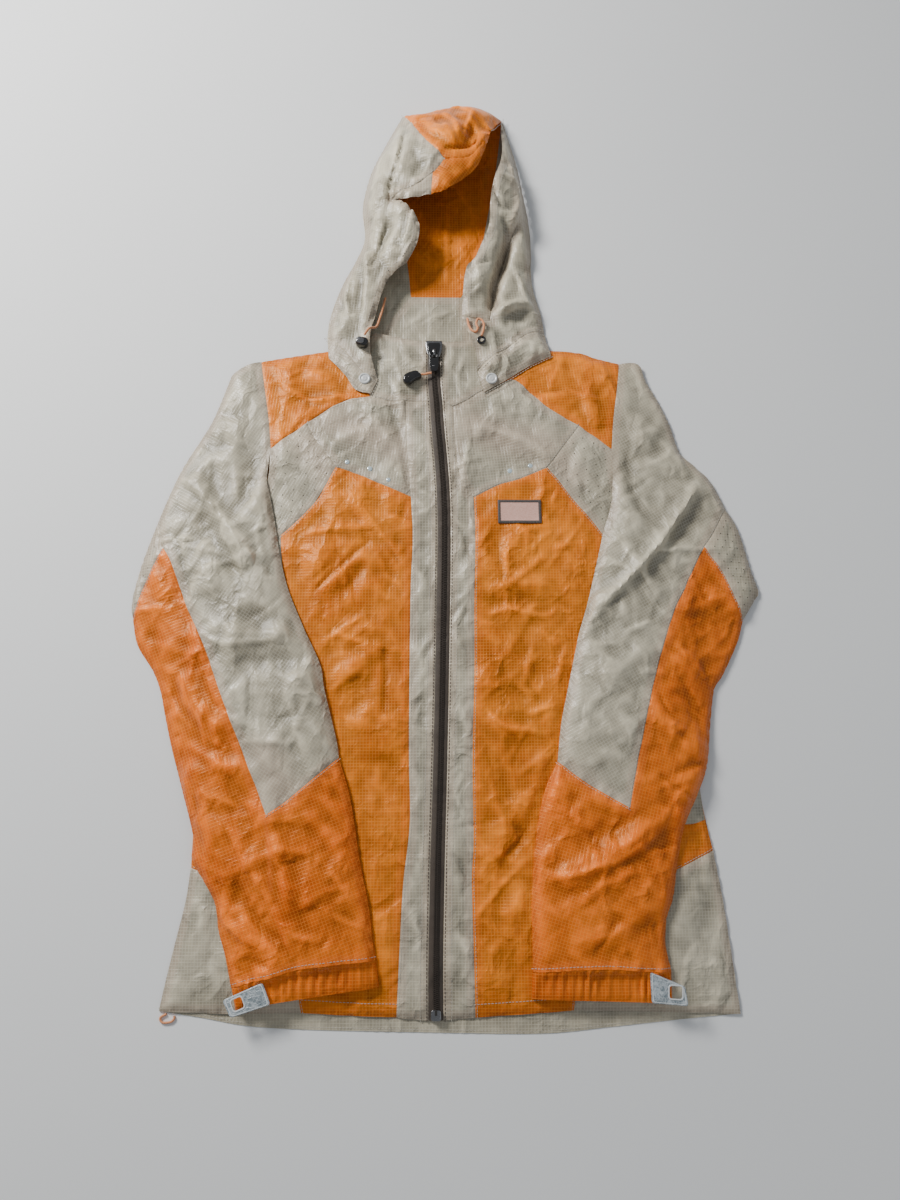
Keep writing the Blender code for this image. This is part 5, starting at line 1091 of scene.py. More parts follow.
def crumpled(layer):
    """The layer's large folds, and its creases and fine crumpling, on the plan grid."""
    seed = SEEDS[layer]
    folds, fine = np.zeros(PLAN[0].shape), np.zeros(PLAN[0].shape)
    for half, height, line in FOLDS.get(layer, ()):
        crease(folds, line, half, height, sharp=False)
    for half, height, line in CREASES[layer]:
        crease(fine, line, half, height)
    for half, height, line in FOLDS.get(layer, ()):  # each large fold has a sharper crest
        crease(fine, line, half * 0.35, height * 0.3)
    count, height, direction = SCATTERED[layer]
    rng = np.random.default_rng(seed)
    low, high = SCATTER_AREA.get(layer, BODY_AREA)
    for _ in range(count):
        x, y = rng.uniform(low, high)
        angle = math.radians(direction + rng.normal(0, 38) + rng.choice((0, 0, 90)))
        length, bend = rng.uniform(14, 85), rng.normal(0, 0.1)
        ahead = np.array([math.cos(angle), math.sin(angle)]) * length / 2
        side = np.array([-ahead[1], ahead[0]]) * bend
        line = ((x - ahead[0], y - ahead[1]), (x + side[0], y + side[1]), (x + ahead[0], y + ahead[1]))
        half, tall = rng.uniform(4, 8), height * rng.uniform(0.3, 1.4) * rng.choice((1, 1, -1))
        crease(fine, line, half, tall, end=16)
    ridges = sum(
        share * (0.8 - np.abs(uneven(seed + k, width))) for k, (share, width) in enumerate(RIDGES))
    fine += CRUMPLE[layer] * ridges * (0.6 + 0.5 * np.clip(uneven(seed + 7, 40), -1, 1.5))
    fine += FACETED[layer] * (faceted(seed + 20, 52) - faceted(seed + 21, 44) * 0.8)
    fine += FACETED[layer] * 0.2 * (faceted(seed + 22, 24) - faceted(seed + 23, 19))
    fine += BILLOW[layer] * (0.6 * uneven(seed + 8, 30) + 0.4 * uneven(seed + 9, 16))
    return folds, fine


def drawn_up():
    """Short ripples beside the sewn seams, where the stitches gather the cloth."""
    total = np.zeros(PLAN[0].shape)
    rng = np.random.default_rng(5)
    for name, line in SAMPLED.items():
        stem = name[:-2] if name[-2:] in ("_l", "_r") else name
        height = GATHERED.get(stem, GATHERED.get(name.rsplit("_", 1)[0], 0))
        if height:
            near = window(line, 16)
            gap, along, _ = nearest(PLAN[0][near], PLAN[1][near], line)
            wave = rng.uniform(7, 11)
            drift = uneven(int(rng.integers(1e6)), 14)[near]
            strength = np.clip(0.6 + 0.6 * drift, 0, 1.6)
            ripple = np.sin(2 * math.pi * along / wave + 1.5 * drift)
            total[near] += height * strength * np.exp(-gap / 5) * ripple
    return total


def calm():
    """1 where the cloth is free to crumple, and less where a fitting or the zip holds it flat."""
    out = np.ones(PLAN[0].shape)
    for x, y, radius in FITTED:
        out *= ease((np.hypot(PLAN[0] - x, PLAN[1] - y) - radius * 0.7) / (radius * 0.8))
    gap = nearest(*PLAN, np.vstack([SAMPLED["zip_low"], SAMPLED["zip_top"][1:]]))[0]
    return out * (0.4 + 0.6 * ease((gap - 7) / 6))


# The layers of cloth


def flat_faces(points, loops):
    """Triangles between points in the plan, held to the loops, as the points' own numbers."""
    given = [Vector(p) for p in points]
    _, _, faces, origins, _, _ = delaunay_2d_cdt(given, [], loops, 1, 1e-6)
    return np.array([origin[0] for origin in origins])[np.array(faces)]


def triangles(loop, spacing):
    """Points inside the loop, after those of the loop itself, and the triangles between them."""
    ahead, behind = np.roll(loop, -1, axis=0) - loop, loop - np.roll(loop, 1, axis=0)
    inward = sum(unit(np.column_stack([-edge[:, 1], edge[:, 0]])) for edge in (ahead, behind))
    inward /= np.maximum(np.sum(inward**2, axis=1, keepdims=True) / 2, 0.3)
    ring = loop + inward * RING
    ring = ring[inside(*ring.T, loop) & (nearest(*ring.T, closed(loop))[0] > RING * 0.7)]
    rows = np.arange(loop[:, 1].min(), loop[:, 1].max(), spacing * math.sqrt(0.75))
    columns = np.arange(loop[:, 0].min(), loop[:, 0].max(), spacing)
    x, y = np.meshgrid(columns, rows)
    x = x + np.where(np.arange(len(rows)) % 2, spacing / 2, 0)[:, None]
    kept = inside(x, y, loop)
    x, y = x[kept], y[kept]
    kept = nearest(x, y, closed(loop))[0] > RING + spacing * 0.5
    points = np.vstack([loop, ring, np.column_stack([x[kept], y[kept]])])
    faces = flat_faces(points, [range(len(loop))])
    a, b, c = (points[faces[:, k]] for k in range(3))
    turned = (b - a)[:, 0] * (c - a)[:, 1] - (c - a)[:, 0] * (b - a)[:, 1] < 0
    faces[turned] = faces[turned][:, ::-1]
    return points, faces


class Layer:
    """The pieces of one layer as one mesh of middle points, which neighbours share along their seams."""

    def __init__(self, name):
        index, places, self.pieces, times = {}, [], {}, []
        sewn = {tuple(np.round(p, 1)) for s in "lr" for p in smooth(CURVES[f"armhole_{s}"], FINE)}
        for piece, (layer, _, spacing, names) in PIECES.items():
            if layer != name:
                continue
            loop = outline(names, COARSE * 0.6 if layer == "under" else FINE)
            points, faces = triangles(loop, spacing)
            around = len(loop)
            ids = []
            for k, (x, y) in enumerate(points):
                key = (round(x, 1), round(y, 1))
                if key not in index:
                    index[key] = len(places)
                    places.append((x, y))
                    times.append(int(key in sewn))
                ids.append(index[key])
                times[index[key]] += k < around
            self.pieces[piece] = (np.array(ids)[faces], np.array(ids[:around]))
        self.xy = np.array(places)
        self.seam = np.array(times) > 1
        self.faces = np.vstack([faces for faces, _ in self.pieces.values()])

    def lay(self, lies, rests):
        """Sets the heights from one plan grid, then raises points until no triangle is below the other."""
        weights = np.array([(i, j, 2 - i - j) for i in range(3) for j in range(3 - i)]) / 2
        spots = np.einsum("sk,fkc->fsc", weights, self.xy[self.faces])
        need = read(rests, spots[..., 0], spots[..., 1])
        self.z = read(lies, *self.xy.T) - SEAM_DIP * self.seam
        # The fold relief, which the cloth's material turns into painted shade in hollows and painted light on
        # crests
        self.fold = np.clip(read(lies - soften(lies, 20), *self.xy.T), -2, 2)
        for _ in range(6):
            short = need - self.z[self.faces] @ weights.T
            worst = short.argmax(axis=1)
            gain = weights[worst] / np.sum(weights[worst] ** 2, axis=1, keepdims=True)
            rise = np.zeros(len(self.z))
            np.maximum.at(rise, self.faces, np.maximum(short.max(axis=1), 0)[:, None] * gain)
            self.z += rise

    def normals(self, points):
        a, b, c = (points[self.faces[:, k]] for k in range(3))
        across = np.cross(b - a, c - a)
        total = np.zeros_like(points)
        for k in range(3):
            np.add.at(total, self.faces[:, k], across)
        return unit(total)

    def make_cloths(self):
        """Gives each piece its thickness, and makes it an object."""
        middle = np.column_stack([self.xy, self.z])
        half = self.normals(middle) * WALL / 2
        for piece, (faces, loop) in self.pieces.items():
            used, local = np.unique(faces, return_inverse=True)
            local = local.reshape(-1, 3)
            top, low = middle[used] + half[used], middle[used] - half[used]
            low[:, 2] = np.maximum(low[:, 2], LOWEST)
            edge = np.searchsorted(used, loop)
            ahead = np.roll(edge, -1)
            count = len(used)
            walls = np.column_stack([edge + count, ahead + count, ahead, edge])
            faces = [*local.tolist(), *(local[:, ::-1] + count).tolist(), *walls.tolist()]
            stuff = COLOUR.get(piece, PIECES[piece][1])
            made = placed(f"{piece}_cloth", np.vstack([top, low]), faces, stuff)
            finish_cloth(made, piece, np.tile(self.fold[used], 2))


def placed(name, points, faces, material):
    """A mesh object from points in millimetres."""
    mesh = bpy.data.meshes.new(name)
    mesh.from_pydata((np.asarray(points) * MM).tolist(), [], faces)
    return smoothed(name, mesh, material, 60)


def smoothed(name, mesh, material, sharp):
    """An object of one material, shaded smooth but for edges sharper than so many degrees."""
    mesh.materials.append(MATERIAL[material])
    mesh.shade_smooth()
    mesh.set_sharp_from_angle(angle=math.radians(sharp))
    return linked(name, mesh)


def give_values(made, name, values):
    """A value at each point of a piece, which its material reads."""
    data = made.data.attributes.new(name, "FLOAT", "POINT").data
    data.foreach_set("value", np.broadcast_to(values, len(data)).astype(np.float32))


def finish_cloth(made, piece, fold):
    spots = np.empty(len(made.data.vertices) * 3, np.float32)
    made.data.vertices.foreach_get("co", spots)
    x, y = spots.reshape(-1, 3)[:, :2].T / MM
    # the fold relief, for the painted shade in hollows and painted light on crests
    give_values(made, "fold", fold)
    give_values(made, "grain", GRAIN.get(piece, 0.0))
    give_values(made, "show", showing(piece, x, y))
    declared(made, replaces=[piece])


def showing(piece, x, y):
    """How far what lies beneath tints the cloth at each place."""
    _, _, spacing, names = PIECES[piece]
    total = np.zeros(x.shape)
    if spacing == FINE:
        gap = nearest(x, y, closed(outline(names, 9)))[0]
        total = ALLOWANCE_TINT * (1 - ease((gap - ALLOWANCE) / 1.2))
    for where, line, half, share in SHOW_THROUGH:
        if piece == where:
            total = np.maximum(total, share * (1 - ease(nearest(x, y, smooth(line, 6))[0] / half)))
    return total


def covers(layer, extra=()):
    """Where on the plan grid the pieces of a layer lie, and any extra loops."""
    found = np.zeros(PLAN[0].shape, bool)
    for names in (*[names for where, _, _, names in PIECES.values() if where == layer], *extra):
        loop = outline(names, 9)
        near = window(loop, 4)
        found[near] |= inside(PLAN[0][near], PLAN[1][near], loop)
    return found


def swollen(layer, edge):
    """How far the air inside lifts a layer, at each distance in from its folded edges."""
    return sum(height * (1 - np.exp(-edge / width)) for height, width in SWELL[layer])


def wrinkled(layer, fine, ripple, edge):
    """The creases and ripples of a layer, which die out at its folded edges."""
    return fine * ease(edge / CALM_EDGE[layer]) + ripple * ease((edge + 3) / 8)


def lay_the_layers():
    """Lays each layer on those beneath it. Returns the layers, and each one's height on the plan grid."""
    cuffs = [f"-cuff_top_{s} cuff_out_{s} cuff_low_{s} cuff_in_{s}" for s in "lr"]
    layers = {name: Layer(name) for name in ("floor", "front", "under", "sleeve", "hood")}
    over = (CLOTH - WALL) / 2
    free = calm()
    ripple = drawn_up()

    folded, fine = crumpled("floor")
    on_floor = FLOOR_CLOTH + np.maximum(folded + fine * 0.5 + ripple, 0) * 0.8
    lies = {"floor": on_floor}
    layers["floor"].lay(on_floor, on_floor * 0 + FLOOR_CLOTH)

    covered = covers("sleeve") | covers("under", cuffs) | covers("hood")
    bare = 1 - soften(spread(covered.astype(float), 8), 4)
    edge = to_edges(FREE["front"])
    folded, fine = crumpled("front")
    lift = TOUCH + (CLOTH / 2 + LAYER + over - FLOOR_CLOTH - TOUCH) * turned_over(edge)
    small = wrinkled("front", fine, ripple, edge) * (0.35 + 0.65 * bare)
    small -= COLLAR_ROLL * (1 - turned_over(to_edges(["collar_top_l", "collar_top_r"])))
    lies["front"] = FLOOR_CLOTH + lift + swollen("front", edge) + folded * bare + small * free
    layers["front"].lay(lies["front"], np.full(free.shape, FLOOR_CLOTH + TOUCH))
    fronts = np.where(covers("front"), lies["front"], 0)

    near = spread(covers("under", cuffs).astype(float), GRID) > 0
    sewn = to_edges([f"{curve}_{s}" for curve in ("armhole", "armhole_low") for s in "lr"]) < 6
    lies["under"] = drape(np.where(near & ~sewn, fronts, 0))
    layers["under"].lay(lies["under"], lies["under"])
    unders = np.where(covers("under", cuffs), lies["under"], 0)

    edge = to_edges(FREE["sleeve"])
    near = spread(covers("sleeve").astype(float), GRID) > 0
    rest = drape(np.maximum(unders, np.where(near, fronts, 0)))
    armhole = to_edges(["armhole_l", "armhole_r"])
    folded, fine = crumpled("sleeve")
    small = wrinkled("sleeve", fine, ripple, edge)
    lift = (2 * LAYER - 2 * TOUCH + over) * turned_over(edge)
    lifted = rest + lift + swollen("sleeve", edge) + folded + small
    lies["sleeve"] = lies["front"] + (lifted - lies["front"]) * ease(armhole / ARMHOLE_BLEND)
    layers["sleeve"].lay(lies["sleeve"], rest * ease(armhole / 8))

    edge = to_edges(FREE["hood"])
    rest = drape(np.maximum(np.where(covers("floor"), FLOOR_CLOTH, 0), fronts))
    loft = np.interp(PLAN[1], *zip(*HOOD_LOFT)) * (1 - np.exp(-edge / HOOD_ROUND))
    folded, fine = crumpled("hood")
    lift = (LAYER + over - TOUCH + CLOTH / 2 - FLOOR_CLOTH) * turned_over(edge)
    small = wrinkled("hood", fine, ripple, edge) * free
    small -= FACE_ROLL * (1 - turned_over(to_edges(["face_l", "face_r", "brim_edge_l", "brim_edge_r"])))
    lies["hood"] = rest + lift + loft + folded * ease(edge / FOLD_END) + small
    layers["hood"].lay(lies["hood"], rest)
    return layers, lies


# Cuffs, cords and fittings


def declared(made, body="jacket", replaces=()):
    """Says which body a piece rides on, and which nodes it stands for."""
    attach(made, body)
    if replaces:
        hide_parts(*replaces)


def strips(rings, around, joined_up=False):
    """Faces between neighbouring rings of points, and from the last to the first where those join up."""
    faces = []
    for ring in range(rings if joined_up else rings - 1):
        a, b = ring * around, (ring + 1) % rings * around
        faces += [(a + k, a + (k + 1) % around, b + (k + 1) % around, b + k) for k in range(around)]
    return faces


def capped(rings, around):
    """Faces of rings of points, with a cap at each end."""
    last = (rings - 1) * around
    return strips(rings, around) + [tuple(range(around))[::-1], tuple(range(last, last + around))]


def circle(sides):
    """Cosines and sines round a circle."""
    angles = np.linspace(0, 2 * math.pi, sides, endpoint=False)
    return [(math.cos(angle), math.sin(angle)) for angle in angles]


def outwards(made):
    shape = bmesh.new()
    shape.from_mesh(made.data)
    bmesh.ops.recalc_face_normals(shape, faces=shape.faces)
    shape.to_mesh(made.data)
    shape.free()
    return made


def make_cuff(side, lies):
    """A flattened tube gathered by its elastic, with an outer and an inner wall that join at both ends."""
    even = np.linspace(0, 1, CUFF_ROUND)
    across = (1 - np.cos(np.linspace(0, math.pi, CUFF_ROUND))) / 2 * 0.25 + even * 0.75
    ends = []
    for curve in (smooth(CURVES[f"{end}_{side}"], 6) for end in ("cuff_top", "cuff_low")):
        places = np.linspace(0, 1, len(curve))
        ends.append(np.column_stack([np.interp(across, places, curve[:, k]) for k in (0, 1)]))
    rng = np.random.default_rng(CUFF_SEEDS[side])
    pitch = np.cumsum(rng.uniform(0.6, 1.5, CUFF_ROUND))
    crests = np.arange(PLEATS + 1)
    heights = rng.uniform(-1, 1, PLEATS + 1) + np.where(crests % 2, 0.9, -0.9)
    pleats = np.interp(pitch / pitch[-1] * PLEATS, crests, heights)
    shift = np.interp(even, np.linspace(0, 1, 9), rng.normal(0, 0.4, 9))
    full = np.sqrt(np.clip(1 - np.abs(2 * across - 1) ** 5, 0, 1))  # how open the tube is at each place
    walls = {CUFF_WALL: [], -CUFF_WALL: []}
    for down in np.linspace(0, 1, CUFF_ROWS):
        plan = ends[0] * (1 - down) + ends[1] * down
        wide = (plan[-1] - plan[0]) / np.linalg.norm(plan[-1] - plan[0])
        low = read(lies["under"], *plan.T) + SEAM
        sleeve_end = read(lies["sleeve"], *plan.T) - SEAM_DIP
        high = low + TOUCH + (CUFF_DEPTH - TOUCH - 1.2) * full
        high = sleeve_end + (high - sleeve_end) * ease(down / 0.3) if down < 0.3 else high
        belly = math.sin(math.pi * min(1.0, down * 1.1)) ** 0.6
        wave = pleats * 0.75 * full * (0.35 + 0.65 * belly) * (1 + 0.3 * math.sin(4 * down))
        wave = wave + shift * full * belly
        roll = 0.8 * math.sqrt(max(0.0, 1 - ((1 - down) / 0.12) ** 2)) if down > 0.88 else 0.0
        for grow, rings in walls.items():
            line = plan.copy()
            line[0] -= wide * (grow - CUFF_WALL)
            line[-1] += wide * (grow - CUFF_WALL)
            over = np.column_stack([line, np.maximum(high + wave + grow - roll, low + 0.9 + grow)])
            under = np.column_stack([line, low - grow])
            rings.append(np.vstack([under, over[::-1]]))
    rings = walls[CUFF_WALL] + walls[-CUFF_WALL][::-1]
    faces = strips(len(rings), 2 * CUFF_ROUND, joined_up=True)
    made = outwards(placed(f"cuff_{side}_gathered", np.vstack(rings), faces, "sleeve_orange"))
    give_values(made, "grain", 0.0)
    give_values(made, "show", 0.0)
    declared(made, replaces=[f"cuff_{side}"])


def bevelled(name, corners, low, thick, material, edge, hole=None, segments=3):
    """A flat plate with an outline and perhaps a hole, its edges rounded. low is its underside's height."""
    loops = [np.array(loop, float) for loop in (corners, hole) if loop is not None]
    points = np.vstack(loops)
    ends = np.cumsum([len(loop) for loop in loops])
    rings = [list(range(end - len(loop), end)) for loop, end in zip(loops, ends)]
    faces = flat_faces(points, rings)
    middle = points[faces].mean(axis=1).T
    kept = inside(*middle, loops[0])
    if hole is not None:
        kept &= ~inside(*middle, loops[1])
    count = len(points)
    levels = [np.column_stack([points, np.full(count, level)]) for level in (low + thick, low)]
    shape = bmesh.new()
    corners = [shape.verts.new(p) for p in np.vstack(levels) * MM]
    for face in faces[kept]:
        shape.faces.new([corners[k] for k in face])
        shape.faces.new([corners[k + count] for k in face[::-1]])
    for ring in rings:
        for a, b in zip(ring, ring[1:] + ring[:1]):
            shape.faces.new([corners[a], corners[b], corners[b + count], corners[a + count]])
    bmesh.ops.recalc_face_normals(shape, faces=shape.faces)
    bmesh.ops.dissolve_limit(shape, angle_limit=math.radians(1), verts=shape.verts, edges=shape.edges)
    sharp = [e for e in shape.edges if e.calc_face_angle(0) > math.radians(40)]
    bmesh.ops.bevel(shape, geom=sharp, offset=edge * MM, segments=segments, profile=0.5, affect="EDGES")
    bmesh.ops.triangulate(shape, faces=[f for f in shape.faces if len(f.verts) > 4])
    mesh = bpy.data.meshes.new(name)
    shape.to_mesh(mesh)
    shape.free()
    return smoothed(name, mesh, material, 35)


def rounded(centre, across, along, corner, turn=0.0):
    """A rectangle with round corners, counterclockwise, turned by so many degrees."""
    points = []
    for quarter, (sx, sy) in enumerate(((1, 1), (-1, 1), (-1, -1), (1, -1))):
        for k in range(ROUND_STEPS + 1):
            angle = math.pi / 2 * (quarter + k / ROUND_STEPS)
            points.append((sx * (across / 2 - corner) + corner * math.cos(angle),
                           sy * (along / 2 - corner) + corner * math.sin(angle)))
    c, s = math.cos(math.radians(turn)), math.sin(math.radians(turn))
    return [(centre[0] + x * c - y * s, centre[1] + x * s + y * c) for x, y in points]


def mirrored(left):
    """An outline from its left half, which runs from the top down."""
    return [*left, *[(-x, y) for x, y in left[::-1]]]


def shrunk(points, middle, across, along):
    """An outline made smaller about its middle, by a share each way."""
    return [(middle[0] + (x - middle[0]) * across, middle[1] + (y - middle[1]) * along) for x, y in points]


def turned_piece(name, centre, profile, material, sides=40, ring=False):
    """A turned fitting: circles of (radius, height) about an axis, with caps, or joined up as a ring."""
    points = [(centre[0] + radius * c, centre[1] + radius * s, centre[2] + height)
              for radius, height in profile for c, s in circle(sides)]
    faces = strips(len(profile), sides, joined_up=True) if ring else capped(len(profile), sides)
    return outwards(placed(name, points, faces, material))


def extent(node):
    """A node's centre in the plan, and its lowest and highest height, in millimetres."""
    low, high = (np.array(corner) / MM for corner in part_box(node))
    return ((low + high) / 2)[:2], low[2], high[2]


def tube(name, route, width):
    """A cord along a smooth curve, with a UV map that runs round it and along it."""
    path = smooth(route, width * 0.45)
    ahead = unit(np.gradient(path, axis=0))
    side = unit(np.cross(ahead, (0, 0, 1.0)))
    up = np.cross(side, ahead)
    run = np.concatenate([[0], np.cumsum(np.linalg.norm(np.diff(path, axis=0), axis=1))])
    points = []
    for k, centre in enumerate(path):
        reach = width / 2 * (0.94 if k in (0, len(path) - 1) else 1)
        points += [centre + reach * (c * side[k] + s * up[k]) for c, s in circle(CORD_SIDES)]
    made = placed(name, points, capped(len(path), CORD_SIDES), "cord")
    uv = made.data.uv_layers.new(name="UVMap")
    for face in made.data.polygons[: (len(path) - 1) * CORD_SIDES]:
        k, j = divmod(face.index, CORD_SIDES)
        corners = ((run[k], j), (run[k], j + 1), (run[k + 1], j + 1), (run[k + 1], j))
        for corner, (along, turn) in zip(face.loop_indices, corners):
            uv.data[corner].uv = (turn / CORD_SIDES, along / (math.pi * width))
    return outwards(made), path, float(run[-1])


def make_cords():
    """The hood's two short cords, the hem's loop and the pull's cord, along the solids' own lines."""
    for name, route in HOOD_CORDS.items():
        made, path, length = tube(f"{name}_braid", route, CORD)
        declared(made, replaces=[name])
    declared(tube("hem_loop_cord", HEM_LOOP, HEM_CORD)[0], replaces=["hem_loop"])
    declared(tube("pull_cord_braid", PULL_CORD, CORD)[0], "puller", ["pull_cord"])


def make_snaps():
    """The two snaps' enamelled caps, each with a raised rim round a low dome."""
    for side in "lr":
        centre, low, high = extent(f"snap_{side}")
        base = low + (high - low - 1.8) / 2 + 0.2
        made = turned_piece(f"snap_cap_{side}", (*centre, base), SNAP_PROFILE, "pale")
        declared(made, replaces=[f"snap_{side}"])


def make_slider():
    """The slider, a tapered shield with a raised rim and a bridge, and the tab that hangs in the bridge."""
    _, _, high = extent("slider")
    face = high - BRIDGE_HEIGHT
    shield = mirrored(SHIELD_LEFT)
    body = bevelled("slider_body", shield, face - 3.1, 3.1, "chrome", 0.9)
    rim = bevelled("slider_rim", shrunk(shield, (0, 217), 0.72, 0.72), face - 0.3, 0.55, "black", 0.2)
    declared(joined("slider_cast", (body, rim, make_bridge(face))), replaces=["slider"])
    _, low, _ = extent("pull_tab")
    eye = rounded((0, PULL_Y - 4), 5.6, 6, 1.2)
    end_plate = shrunk(rounded((0, 193), 3.0, 3.0, 1.4), (0, 197.5), 0.62, 0.5)
    plate = bevelled("pull_tab_plate", mirrored(TAB_LEFT), low, 1.6, "black", 0.35, eye)
    inset = bevelled("pull_tab_inset", end_plate, low + 1.2, 0.7, "chrome", 0.2)
    declared(joined("pull_tab_cast", (plate, inset)), "puller", ["pull_tab"])


def make_bridge(face):
    """A bridge over the slider: a bent bar of oval section."""
    angles = np.linspace(0, math.pi, BRIDGE_ROWS)
    path = np.array([(0, PULL_Y - 4.0 * math.cos(a), face - 0.6 + 4.3 * math.sin(a) ** 0.6) for a in angles])
    points = []
    for centre, way in zip(path, unit(np.gradient(path, axis=0))):
        up = np.cross((1.0, 0, 0), way)
        points += [centre + 1.45 * c * np.array((1.0, 0, 0)) + 0.62 * s * up for c, s in circle(BRIDGE_SIDES)]
    return outwards(placed("slider_bridge", points, capped(BRIDGE_ROWS, BRIDGE_SIDES), "chrome"))


def joined(name, parts):
    """Several meshes as one object, each keeping its materials."""
    shape = bmesh.new()
    mesh = bpy.data.meshes.new(name)
    slots = []
    for part in parts:
        before = len(shape.faces)
        shape.from_mesh(part.data)
        shape.faces.ensure_lookup_table()
        material = part.data.materials[0]
        if material not in slots:
            slots.append(material)
            mesh.materials.append(material)
        for face in shape.faces[before:]:
            face.material_index = slots.index(material)
        bpy.data.objects.remove(part)
    shape.to_mesh(mesh)
    shape.free()
    return linked(name, mesh)


def make_toggle():
    _, low, high = extent("toggle")
    body = bevelled("toggle_body", smooth(TOGGLE, 1.6)[:-1], low, high - low, "black", 2.6, segments=5)
    ring = bevelled("toggle_ring", rounded((-24.5, 181.6), 9, 5.5, 2.6, 35), high - 0.25, 0.5, "black", 0.2)
    declared(joined("toggle_moulded", (body, ring)), "puller", ["toggle"])


def make_cord_lock():
    _, low, high = extent("cord_lock")
    outer, button = rounded((-79, 221), 14, 10, 4.4, -12), rounded((-80.5, 221.3), 8.6, 7.4, 3.5, -12)
    body = bevelled("lock_body", outer, low + 0.3, high - low - 1.5, "black", 1.6, segments=4)
    plunger = bevelled("lock_plunger", button, high - 2.2, 2.0, "chrome", 0.7)
    declared(joined("cord_lock_moulded", (body, plunger)), replaces=["cord_lock"])


def make_eyelet():
    centre, low, _ = extent("eyelet_r")
    made = turned_piece("eyelet_ring", (*centre, low), EYELET_PROFILE, "black", 36, ring=True)
    declared(made, replaces=["eyelet_r"])


def make_zip_box():
    """The block at the zip's foot, with a slot for the pin."""
    _, low, _ = extent("zip_box")
    block = bevelled("zip_box_block", rounded((0, -464), 9.6, 9.6, 2.2), low, 3.1, "chrome", 0.7)
    # painted shade: a near-black plate stands for the shadow in the slot
    slot = bevelled("zip_box_slot", rounded((0, -461.5), 2.4, 5.2, 1.0), low + 2.9, 0.4, "hole", 0.1)
    declared(joined("zip_box_cast", (block, slot)), replaces=["zip_box"])


def make_cuff_tabs():
    """Stiff tabs with round corners, a raised line near the edge, and a rim round the slot."""
    for side, (corners, (centre, across, along, turn)) in CUFF_TABS.items():
        _, low, high = extent(f"cuff_tab_{side}")
        corners = np.array(corners, float)
        middle = corners.mean(axis=0)
        outer = []
        for before, corner, after in zip(np.roll(corners, 1, axis=0), corners, np.roll(corners, -1, axis=0)):
            away = (before - corner, after - corner)
            a, b = (corner + way / np.linalg.norm(way) * 2.4 for way in away)
            outer += [(1 - t) ** 2 * a + 2 * t * (1 - t) * corner + t**2 * b for t in (0.0, 0.5, 1.0)]
        hole = rounded(centre, across, along, 2.2, turn)
        wide = rounded(centre, across + 2.4, along + 2.4, 3.0, turn)
        line, line_in = (shrunk(outer, middle, share, share) for share in (0.93, 0.88))
        plate = bevelled("tab_plate", outer, low, high - low, "silver", 0.35, hole)
        rim = bevelled("tab_rim", wide, high - 0.1, 0.55, "rim", 0.22, hole)
        edge = bevelled("tab_line", line, high - 0.1, 0.35, "rim", 0.12, line_in)
        made = joined(f"cuff_tab_{side}_plate", (plate, rim, edge))
        declared(made, replaces=[f"cuff_tab_{side}"])


def make_patch(lies):
    """The bare chest patch: a woven field with a raised border, following the front."""
    (left, bottom), (right, top) = PATCH
    x, y = np.arange(left, right + 1.0), np.arange(bottom, top + 1.0)
    across, along = np.meshgrid(x, y)
    ground = read(soften(lies["front"], 6), across, along) + 0.6 + SEAM
    gap = np.minimum(np.minimum(across - left, right - across), np.minimum(along - bottom, top - along))
    raised = 0.75 + 0.45 * (1 - ease((gap - 2.2) / 0.9))
    upper = ground + raised - 0.5 * (1 - ease(gap / 0.9))
    count, wide = across.size, len(x)
    points = np.vstack([np.column_stack([across.ravel(), along.ravel(), z.ravel()]) for z in (upper, ground)])
    cells = [row * wide + k for row in range(len(y) - 1) for k in range(wide - 1)]
    faces = [(k, k + 1, k + wide + 1, k + wide) for k in cells]
    dark = [gap.ravel()[list(face)].mean() < PATCH_BORDER for face in faces]
    rim = [*range(wide), *range(2 * wide - 1, count, wide), *range(count - 2, count - wide - 1, -1),
           *range(count - 2 * wide, 0, -wide)]
    faces += [tuple(k + count for k in face[::-1]) for face in faces]
    faces += [(a + count, b + count, b, a) for a, b in zip(rim, rim[1:] + rim[:1])]
    made = placed("chest_patch_woven", points, faces, "patch")
    made.data.materials.append(MATERIAL["patch_rim"])
    dark += [False] * len(cells) + [True] * len(rim)
    made.data.polygons.foreach_set("material_index", np.array(dark, np.int32))
    declared(made, replaces=["chest_patch"])


def make_dots(lies):
    parts = []
    for x, y, radius in DOTS:
        z = float(read(lies["front"], x, y)) + WALL / 2
        profile = ((radius, -0.2), (radius, 0.15), (radius * 0.85, 0.45), (radius * 0.5, 0.6), (0.05, 0.65))
        parts.append(turned_piece("dot", (x, y, z), profile, "glint", 16))
    declared(joined("yoke_dots", parts))


# What repeats: stitches, zip teeth, perforations


